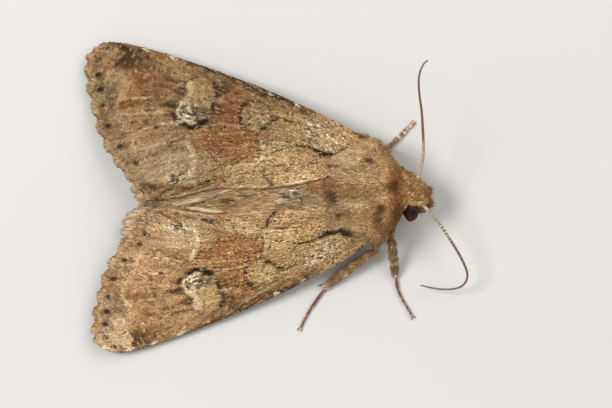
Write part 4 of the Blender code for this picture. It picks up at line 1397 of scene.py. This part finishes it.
def leg_surfaces(name):
    """The skins of a leg's thigh, shin and foot."""
    hip, knee, ankle, foot = LEGS[name]
    ankle = (*ankle, ANKLE_HEIGHT)
    toes = [(*toe, TOE_HEIGHT) for toe in foot]
    return {
        "femur": limb_surface(straight(hip, knee), LEG_RADII["femur"]),
        "tibia": limb_surface(straight(knee, ankle), LEG_RADII["tibia"]),
        "tarsus": limb_surface((ankle, *toes), tarsus_radii(), sharpness=0.01),
    }


def scatter(surface, density, rng, span):
    """Even random places round a stretch of a surface, so many to the square millimetre."""
    along, around = 120, 48
    s = np.linspace(*span, along + 1)
    a = np.linspace(-math.pi, math.pi, around + 1)
    grid_s, grid_a = np.meshgrid(s, a, indexing="ij")
    grid = surface(grid_s.ravel(), grid_a.ravel()).reshape(*grid_s.shape, 3)
    ahead, beside = grid[1:, :-1] - grid[:-1, :-1], grid[:-1, 1:] - grid[:-1, :-1]
    area = np.linalg.norm(np.cross(ahead, beside), axis=-1).ravel()
    n = int(area.sum() * density)
    at = np.searchsorted(np.cumsum(area) / area.sum(), (np.arange(n) + rng.random(n)) / n)
    i, j = np.divmod(np.minimum(at, len(area) - 1), around)
    share = s[0] + (i + rng.random(n)) * (s[1] - s[0])
    angle = a[0] + (j + rng.random(n)) * (a[1] - a[0])
    return share, angle


def surface_frame(surface, share, angle):
    """Places, outward normals and directions along a limb."""
    before, after = np.clip(share - 0.004, 0, 1), np.clip(share + 0.004, 0, 1)
    at = surface(share, angle)
    along = surface(after, angle) - surface(before, angle)
    around = surface(share, angle + 0.05) - surface(share, angle - 0.05)
    normal = unit(np.cross(along, around))
    middle = (at + surface(share, angle + math.pi)) / 2
    normal *= np.sign(np.sum(normal * (at - middle), axis=1, keepdims=True))
    opposite = surface(after, angle + math.pi) - surface(before, angle + math.pi)
    return at, normal, unit(along + opposite)


def tangent(lie, normal):
    """The part of a direction that runs along a surface."""
    return unit(lie - normal * np.sum(lie * normal, axis=1, keepdims=True))


# ---------------------------------------------------------------- skin


def add_tube(bm, surface, rings, sides):
    """Adds a closed round skin to a bmesh."""
    made = bmesh.ops.create_uvsphere(bm, u_segments=sides, v_segments=rings, radius=1)["verts"]
    co = np.array([vert.co for vert in made])
    share = np.arccos(np.clip(co[:, 2], -1, 1)) / math.pi
    angle = np.arctan2(co[:, 1], co[:, 0])
    for vert, place in zip(made, surface(share, angle)):
        vert.co = place


def relax(mesh, rounds):
    """Softens the grooves between the thorax, collar, head and shoulder flaps."""
    co = vertex_places(mesh)
    ends = np.empty(len(mesh.edges) * 2, np.int32)
    mesh.edges.foreach_get("vertices", ends)
    ends = ends.reshape(-1, 2)
    start, end = np.concatenate([ends, ends[:, ::-1]]).T
    n = len(co)
    count = np.maximum(np.bincount(start, minlength=n), 1)
    x, _, z = co.T
    weight = 0.7 * ramp(z, 2.2, 2.8) * ramp(x, -2.2, -1.6) * (1 - ramp(x, 3.0, 3.3))
    for _ in range(rounds):
        mean = np.stack([np.bincount(start, axis[end], n) for axis in co.T], 1) / count[:, None]
        co += weight[:, None] * (mean - co)
    mesh.vertices.foreach_set("co", co.astype(np.float32).ravel())
    mesh.update()


def build_skin(materials):
    """One skin for the whole body, with its shoulder flaps, palps and legs."""
    bm = bmesh.new()
    add_tube(bm, body_surface, 120, 48)
    for side in SIDES:
        add_tube(bm, tegula_surface(side), 30, 20)
        add_tube(bm, palp_surface(side), 20, 12)
    for name in LEGS:
        for surface in leg_surfaces(name).values():
            add_tube(bm, surface, 60, 12)
    rough = in_scene("skin_rough", mesh_from(bm, "skin_rough"))
    remesh = rough.modifiers.new("one_skin", "REMESH")
    remesh.mode = "VOXEL"
    remesh.voxel_size = SKIN_VOXEL
    smooth = rough.modifiers.new("soften", "SMOOTH")
    smooth.factor = 0.5
    smooth.iterations = 3
    depsgraph = bpy.context.evaluated_depsgraph_get()
    mesh = bpy.data.meshes.new_from_object(rough.evaluated_get(depsgraph))
    mesh.name = "body_skin"
    bpy.data.objects.remove(rough)
    relax(mesh, 30)
    tree = BVHTree.FromPolygons([v.co for v in mesh.vertices], [p.vertices for p in mesh.polygons])
    places = vertex_places(mesh)
    set_tint(mesh, skin_colour(places))
    parts = [f"{part}_{name}" for name in LEGS for part in ("femur", "tibia", "tarsus")]
    parts += [f"{part}_{side}" for side in SIDES for part in ("tegula", "palp")]
    parts += ["head", "collar", "thorax", "abdomen", "abdomen_tip"]
    as_piece(mesh, "body_skin", "fur", materials["skin"], parts)
    return tree


def skin_colour(p):
    """Colours of the skin, the same as the coat's over each part."""
    x, y, z = p.T
    rgb = back_colour(p)
    rgb = np.where((x > 1.55)[:, None], collar_colour(p), rgb)
    rgb = np.where((x > 2.6)[:, None], head_colour(p), rgb)
    rgb = np.where((x < -2.3)[:, None], abdomen_colour(p), rgb)
    limbs = (z < 0.7) | ((np.abs(y) > 2.1) & (z < 2.2))
    rgb = np.where(limbs[:, None], tone("maroon"), rgb)
    return rgb * 0.8


# ---------------------------------------------------------------- body coats


def fixed(*lie):
    """Hair that lies in one direction."""
    return lambda at, ahead: np.broadcast_to(np.array(lie, float), at.shape)


def lengthways(at, ahead):
    """Hair that lies along a limb."""
    return ahead


def faces_up(at, normal):
    """Whether places face upwards or sideways."""
    return normal[:, 2] > -0.25


def faces_down(at, normal):
    """Whether places face down."""
    return normal[:, 2] <= -0.25


class Coat:
    """Hairs gathered from several surfaces for one piece."""

    def __init__(self, tree, seed):
        self.tree = tree
        self.rng = np.random.default_rng(seed)
        self.rows = []

    def settle(self, at, normal):
        """Moves roots onto the finished skin, and says which ones were near it."""
        found = [self.tree.find_nearest(Vector(place), SETTLE_REACH) for place in at]
        near = np.array([hit[0] is not None for hit in found], bool)
        at, normal = at.copy(), normal.copy()
        for i in np.flatnonzero(near):
            at[i], normal[i] = found[i][0], found[i][1]
        return at, normal, near

    def add(
        self, surface, lie, colour, flat, span, density, length, width, lift, bend,
        keep=None, sway=0.08, spread=0.20, flecks=0.09,
    ):
        """Hairs over a surface, where keep says so, each in the direction that lie gives."""
        rng = self.rng
        share, angle = scatter(surface, density, rng, span)
        at, normal, ahead = surface_frame(surface, share, angle)
        good = np.isfinite(normal).all(axis=1) & np.isfinite(ahead).all(axis=1)
        if self.tree is not None:
            at, normal, near = self.settle(at, normal)
            good &= near
        if keep is not None:
            good &= keep(at, normal)
        share, angle, at, normal, ahead = (value[good] for value in (share, angle, at, normal, ahead))
        n = len(at)
        way = tangent(lie(at, ahead) + rng.normal(0, 0.13, (n, 3)), normal)
        size = (length(at) if callable(length) else length) * rng.uniform(0.75, 1.2, n)
        corners = strands(
            BRISTLE, at - normal * ROOT_DEPTH, way, normal, size,
            width=width * rng.uniform(0.75, 1.25, n), thick=width * 0.3,
            lift=lift * rng.uniform(0.6, 1.4, n), hug=-size * bend / 2, sway=rng.normal(0, sway, n),
        )
        corners[..., 2] = np.maximum(corners[..., 2], FLOOR_GAP)
        rgb = speckled(colour(at, share), rng, spread, flecks, flecks)
        self.rows.append((corners, shaded(BRISTLE, rgb, 0.66, 1.15), flat(at, share, angle)))

    def finish(self, name, slot, material):
        """Makes the piece."""
        corners, rgb, flat = (np.concatenate(column) for column in zip(*self.rows))
        coat_piece(name, slot, material, BRISTLE, corners, rgb, flat)


def trunk_flat(start, end):
    """Unwraps a stretch of the trunk along its length and round it."""

    def flat(at, share, angle):
        return unwrap((at[:, 0] - start) / (end - start), (angle + math.pi) / (2 * math.pi))

    return flat


def slot_flat(index=0, count=1):
    """Unwraps a limb into one of several strips side by side."""

    def flat(at, share, angle):
        return unwrap(share, (index + 0.05 + 0.9 * (angle + math.pi) / (2 * math.pi)) / count)

    return flat


def share_at(x):
    """Share along the trunk's rows where it reaches a place."""
    shares = np.linspace(0, 1, 2001)
    along = curve(BODY, shares)[:, 0]
    return float(shares[np.argmin(np.abs(along - x))])


def thorax_coats(tree, material):
    """Hair scales of the thorax, and the longer ones of its crest and shoulders."""
    span = (share_at(1.75), share_at(-2.4))
    flat = trunk_flat(-2.6, 2.0)
    thorax = Coat(tree, 201)
    thorax.add(
        body_surface, fixed(-1, 0, -0.1), back_colour, flat, span, density=560, length=0.32,
        width=0.055, lift=0.55, bend=0.6, keep=faces_up, sway=0.2, spread=0.26, flecks=0.13,
    )
    thorax.add(
        body_surface, fixed(-1, 0, -0.1), back_colour, flat, span, density=90, length=0.60,
        width=0.085, lift=0.3, bend=0.42, keep=faces_down,
    )
    thorax.finish("thorax_coat", "fur", material)

    def tuft(at, normal):
        return (np.hypot((at[:, 0] + 1.9) / 0.7, (at[:, 1] - 0.35) / 0.7) < 1) & (normal[:, 2] > 0.2)

    def shoulders(at, normal):
        return (np.abs(at[:, 1]) > 1.5) & (normal[:, 2] > 0.0) & (at[:, 0] > -0.8)

    crest = Coat(tree, 202)
    crest.add(
        body_surface, fixed(-1, 0, 0), back_colour, flat, span, density=320, length=0.55,
        width=0.06, lift=0.5, bend=0.4, keep=tuft, sway=0.2,
    )
    crest.add(
        body_surface, fixed(-1, 0, 0.1), back_colour, flat, span, density=150, length=0.55,
        width=0.06, lift=0.45, bend=0.5, keep=shoulders, sway=0.2,
    )
    crest.finish("crest_tuft", "fur", material)


def collar_coat(tree, material):
    """Hair scales of the collar, raised above and flat below."""
    span = (share_at(2.75), share_at(1.6))
    flat = trunk_flat(1.4, 2.9)
    coat = Coat(tree, 203)
    coat.add(
        body_surface, fixed(-0.7, 0, 0.3), collar_colour, flat, span, density=560, length=0.34,
        width=0.055, lift=0.6, bend=0.5, keep=faces_up, sway=0.25, spread=0.22, flecks=0.10,
    )
    coat.add(
        body_surface, fixed(-1, 0, -0.1), collar_colour, flat, span, density=90, length=0.5,
        width=0.08, lift=0.3, bend=0.35, keep=faces_down,
    )
    coat.finish("collar_coat", "collar", material)


def head_coat(tree, material):
    """Hair scales of the head: short ones, then longer ones on the crown, brow and face."""

    def forward(at, ahead):
        return np.stack([1 + 0 * at[:, 0], 0.35 * at[:, 1], 0.35 + 0 * at[:, 2]], -1)

    def clear(at, normal):
        return outside_eyes(at, 1.02)

    def crown(at, normal):
        return outside_eyes(at, 1.0) & (normal[:, 2] > 0.1) & (at[:, 0] < 3.6)

    def brow(at, normal):
        return (at[:, 1] > 0.3) & (normal[:, 2] > -0.35) & (at[:, 0] > 2.3) & (at[:, 0] < 3.4)

    def face(at, normal):
        return (at[:, 0] > 3.0) & (normal[:, 2] > -0.55) & outside_eyes(at, 1.0)

    span = (0.004, share_at(2.45))
    flat = trunk_flat(2.4, 3.8)
    coat = Coat(tree, 204)
    coat.add(
        body_surface, forward, head_colour, flat, span, density=560, length=0.26, width=0.05,
        lift=0.35, bend=0.5, keep=clear,
    )
    for keep, lie, density, length, lift, bend in (
        (crown, forward, 420, 0.52, 0.55, 0.9),
        (brow, fixed(0.3, 1, 0.1), 480, 0.86, 0.35, 0.7),
        (face, fixed(1, 0, 0.25), 620, 0.62, 0.30, 0.5),
    ):
        coat.add(
            body_surface, lie, head_colour, flat, span, density, length, width=0.06, lift=lift,
            bend=bend, keep=keep, sway=0.3, spread=0.30, flecks=0.15,
        )
    coat.finish("head_coat", "fur", material)


def abdomen_coat(tree, material):
    """Hair scales of the abdomen, longer towards the tail."""

    def length(at):
        return 0.5 + 0.75 * ramp(-at[:, 0], 9.8, 11.8)

    coat = Coat(tree, 205)
    coat.add(
        body_surface, fixed(-1, 0, 0), abdomen_colour, trunk_flat(-12.6, -2.2),
        (share_at(-2.35), 0.996), density=120, length=length, width=0.09, lift=0.14, bend=0.3,
    )
    coat.finish("abdomen_coat", "fur", material)


def outside_eyes(at, room):
    """Whether places on the head are clear of the eyes, by this share of their radii."""
    clear = np.ones(len(at), bool)
    for side in SIDES:
        centre = head_turn(mirrored([EYE_CENTRE], side))[0]
        clear &= np.linalg.norm((at - centre) / np.array(EYE_RADII), axis=1) > room
    return clear


def flap_coats(tree, material):
    """Hair scales of the shoulder flaps and palps."""
    for side in SIDES:
        outwards = (0, 0.12 * side_sign(side), 0.0)
        flap = Coat(tree, on(side, (210, 211)))
        flap.add(
            tegula_surface(side), lambda at, ahead: ahead + outwards, back_colour, slot_flat(),
            (0.005, 0.99), density=560, length=0.34, width=0.055, lift=0.5, bend=0.6, sway=0.2,
            spread=0.26, flecks=0.13,
        )
        flap.finish(f"shoulder_coat_{side}", "fur", material)
        palp = Coat(tree, on(side, (212, 213)))
        palp.add(
            palp_surface(side), lengthways, palp_colour, slot_flat(), (0.03, 0.97), density=700,
            length=0.36, width=0.05, lift=0.5, bend=0.8, sway=0.2,
        )
        palp.finish(f"palp_coat_{side}", "fur", material)


def leg_coats(tree, material):
    """Hair scales of the legs, long on the shins and short on the feet."""
    sizes = {  # density, length, width, lift and bend
        "femur": (180, 0.42, 0.07, 0.40, 1.5),
        "tibia": (330, 0.46, 0.055, 0.50, 1.0),
        "tarsus": (520, 0.13, 0.045, 0.18, 1.0),
        "furry_tarsus": (620, 0.24, 0.055, 0.42, 1.0),
    }
    for side in SIDES:
        coat = Coat(tree, on(side, (220, 221)))
        names = [name for name in LEGS if name.endswith(side)]
        for i, name in enumerate(names):
            for j, (part, surface) in enumerate(leg_surfaces(name).items()):
                furry = part == "tarsus" and name == "front_left"
                coat.add(
                    surface, lengthways, lambda at, share: leg_colour(share, part, furry),
                    slot_flat(3 * i + j, 9), (0.02, 0.985), *sizes["furry_tarsus" if furry else part],
                )
        coat.finish(f"leg_coat_{side}", "leg", material)


# ---------------------------------------------------------------- eyes, feelers, tongue, claws


def nearest_of(places):
    """A tree that finds the nearest of some places."""
    tree = KDTree(len(places))
    for i, place in enumerate(places):
        tree.insert(Vector(place), i)
    tree.balance()
    return tree


def build_eyes(materials):
    """Compound eyes, domed and finely faceted."""
    for side in SIDES:
        bm = bmesh.new()
        bmesh.ops.create_icosphere(bm, subdivisions=6, radius=1)
        facets = bmesh.new()
        bmesh.ops.create_icosphere(facets, subdivisions=5, radius=1)
        tree = nearest_of([vert.co for vert in facets.verts])
        facets.free()
        centre = Vector(mirrored([EYE_CENTRE], side)[0])
        for vert in bm.verts:
            near = tree.find(vert.co)[2]
            dome = 1 + 0.012 * (1 - min(near / 0.035, 1.0))
            vert.co = centre + Vector(c * r for c, r in zip(vert.co * dome, EYE_RADII))
        places = head_turn(np.array([vert.co for vert in bm.verts]))
        for vert, place in zip(bm.verts, places):
            vert.co = place
        name = f"eye_dome_{side}"
        as_piece(mesh_from(bm, name), name, "eye", materials["eye"], [f"eye_{side}"])


ANTENNA_JOINTS = 64
ANTENNA_SCAPE = 0.022  # share of its length that the thick first joint takes


def antenna_surface(side):
    """A feeler's skin: a stout first joint, then many small joints that thin to the tip."""
    share = np.linspace(0, 1, ANTENNA_JOINTS * 4 + 1)
    swelling = np.abs(np.sin(math.pi * ANTENNA_JOINTS * share)) ** 0.5
    radius = (0.102 - 0.058 * share) * (0.84 + 0.18 * swelling)
    radius = np.where(share < ANTENNA_SCAPE, 0.13, radius)
    return limb_surface(ANTENNA[side], radius, sharpness=0.004)


def antenna_colour(share):
    """Colours along a feeler: cream with dark bars towards the head, brown beyond."""
    rgb = plain("white", share)
    bars = ramp(np.sin(2 * math.pi * ANTENNA_JOINTS * share), -0.3, 0.1)
    rgb = lay(rgb, "maroon", 0.85 * ramp(share, 0.24, 0.36))
    return lay(rgb, "soot", (0.92 - 0.35 * ramp(share, 0.24, 0.36)) * bars)


def build_antennae(materials):
    """Feelers: jointed skin, flat scales above and short hairs below."""
    for side in SIDES:
        surface = antenna_surface(side)
        name = f"feeler_{side}"
        bm = bmesh.new()
        add_tube(bm, surface, ANTENNA_JOINTS * 4, 10)
        mesh = mesh_from(bm, name)
        shares = np.linspace(0, 1, 400)
        tree = nearest_of(curve(ANTENNA[side], shares))
        share = np.array([shares[tree.find(vert.co)[1]] for vert in mesh.vertices])
        set_tint(mesh, antenna_colour(share) * 0.8)
        parts = [f"antenna_{side}_{part}" for part in ("base", "middle", "tip")]
        as_piece(mesh, name, "feeler", materials["skin"], parts)
        coat = Coat(None, on(side, (230, 231)))
        coat.add(
            surface, lengthways, lambda at, share: antenna_colour(share), slot_flat(), (0.003, 0.995),
            density=1500, length=0.052, width=0.045, lift=0.15, bend=2.0,
            keep=lambda at, normal: normal[:, 2] > -0.3, sway=0.03, spread=0.1, flecks=0.0,
        )
        coat.add(
            surface, lambda at, ahead: ahead * 0.3 + (0, 0, -1), lambda at, share: antenna_colour(share),
            slot_flat(), (0.03, 0.995), density=160, length=0.12, width=0.012, lift=0.9, bend=0.0,
            keep=lambda at, normal: normal[:, 2] <= -0.3,
        )
        coat.finish(f"feeler_scales_{side}", "feeler", materials["hair"])


def build_tongue(materials):
    """The coiled tongue, under the head between the palps."""
    turns, steps, coil = 2.4, 60, 0.26
    share = np.linspace(0, 1, steps)
    angle = 2 * math.pi * turns * share + math.pi / 2
    radius = coil * (1 - 0.72 * share)
    spiral = np.stack([radius * np.cos(angle), 0 * share, radius * np.sin(angle)], -1)
    path = np.array(TONGUE_CENTRE) + spiral
    bm = bmesh.new()
    size = 0.045 * (1 - 0.5 * share)

    def surface(s, a):
        centre = curve(path, s)
        forward = unit(curve(path, np.minimum(s + 0.005, 1)) - curve(path, np.maximum(s - 0.005, 0)))
        side = np.broadcast_to(np.array((0.0, 1.0, 0.0)), forward.shape)
        upright = np.cross(forward, side)
        r = curve(size[:, None], s) * rounded_ends(s, 0.01)[:, None]
        return head_turn(centre + r * (np.cos(a)[:, None] * side + np.sin(a)[:, None] * upright))

    add_tube(bm, surface, 160, 10)
    as_piece(mesh_from(bm, "tongue"), "tongue", "feeler", materials["horn"])


SPUR_PLACES = {"front": (), "middle": (0.96,), "hind": (0.62, 0.96)}  # shares of the shin


def build_claws(materials):
    """Two hooked claws on each foot, and the spurs of the shins."""
    bm = bmesh.new()
    for name, (_, knee, ankle, foot) in LEGS.items():
        toe = np.array((*foot[-1], TOE_HEIGHT))
        before = np.array((*(foot[-2] if len(foot) > 1 else ankle), TOE_HEIGHT))
        ahead = unit(toe - before)
        beside = np.cross(UP, ahead)
        for sign in (-1, 1):
            start = toe + beside * 0.04 * sign
            path = [
                start - ahead * 0.06,
                start + ahead * 0.06 + beside * 0.05 * sign + UP * 0.01,
                start + ahead * 0.13 + beside * 0.07 * sign - UP * 0.04,
                start + ahead * 0.15 + beside * 0.07 * sign - UP * 0.11,
            ]
            add_tube(bm, limb_surface(path, (0.03, 0.028, 0.02, 0.008)), 14, 8)
        shin_end, shin_start = np.array((*ankle, ANKLE_HEIGHT)), np.array(knee)
        down = unit(shin_end - shin_start)
        beside = unit(np.cross(UP, down))
        for share in SPUR_PLACES[name.split("_")[0]]:
            start = shin_start + (shin_end - shin_start) * share
            for sign, length in ((-1, 0.75), (1, 0.55)):
                tip = start + (down * 0.85 + beside * 0.42 * sign) * length
                tip[2] = max(tip[2], 0.06)
                middle = (start + tip) / 2 + beside * 0.04 * sign
                add_tube(bm, limb_surface([start, middle, tip], (0.055, 0.045, 0.015)), 12, 8)
    as_piece(mesh_from(bm, "claws_and_spurs"), "claws_and_spurs", "leg", materials["horn"])


# ---------------------------------------------------------------- stage


def build_stage():
    """The floor, lights and camera."""
    bm = bmesh.new()
    bmesh.ops.create_grid(bm, x_segments=1, y_segments=1, size=1.5)
    mesh = bpy.data.meshes.new("floor")
    bm.to_mesh(mesh)
    bm.free()
    mesh.materials.append(floor_material())
    floor = in_scene("floor", mesh)

    world = bpy.data.worlds.new("studio")
    world.use_nodes = True
    background = world.node_tree.nodes["Background"]
    background.inputs["Color"].default_value = (1.0, 0.975, 0.935, 1)
    background.inputs["Strength"].default_value = 0.52
    bpy.context.scene.world = world

    for name, place, size, power in (
        ("key", (-0.17, 0.05, 0.27), 0.13, 1.04),
        ("fill", (0.17, 0.11, 0.22), 0.25, 0.56),
    ):
        lamp = bpy.data.lights.new(name, "AREA")
        lamp.shape = "DISK"
        lamp.size = size
        lamp.energy = power
        light = in_scene(name, lamp)
        light.location = place
        light.rotation_euler = (-Vector(place)).to_track_quat("-Z", "Y").to_euler()

    lens = bpy.data.cameras.new("camera")
    lens.lens = VIEW_LENS
    lens.sensor_width = 36
    lens.clip_start = 0.01
    lens.clip_end = 10
    camera = in_scene("camera", lens)
    camera.location = Vector(ORIGIN) + Vector((*VIEW_CENTRE, VIEW_HEIGHT)) * MM
    camera.rotation_euler = (0, 0, math.radians(VIEW_TURN))
    bpy.context.scene.camera = camera
    bpy.context.scene.view_settings.view_transform = "Standard"


def main():
    """Builds the stage, then the moth from its skin outwards."""
    build_stage()
    strand = dict(grain=0.05, spread=0.12, roughness=0.68, bump=0.006)
    materials = {
        "scale": tinted_material("wing_scales", **strand, specular=0.15),
        "hair": tinted_material("hair_scales", **strand, sheen=0.03, stretch=(0.5, 1, 1), specular=0.2),
        "membrane": tinted_material("wing_skin", grain=0.10, spread=0.15, roughness=0.7, bump=0.02),
        "skin": tinted_material("body_skin", grain=0.12, spread=0.2, roughness=0.6, bump=0.03),
        "eye": eye_material(),
        "horn": horn_material(),
    }
    tree = build_skin(materials)
    for side in SIDES:
        build_wings(side, materials)
    build_saddle(materials)
    for dress in (thorax_coats, collar_coat, head_coat, abdomen_coat, flap_coats, leg_coats):
        dress(tree, materials["hair"])
    build_eyes(materials)
    build_antennae(materials)
    build_tongue(materials)
    build_claws(materials)


main()
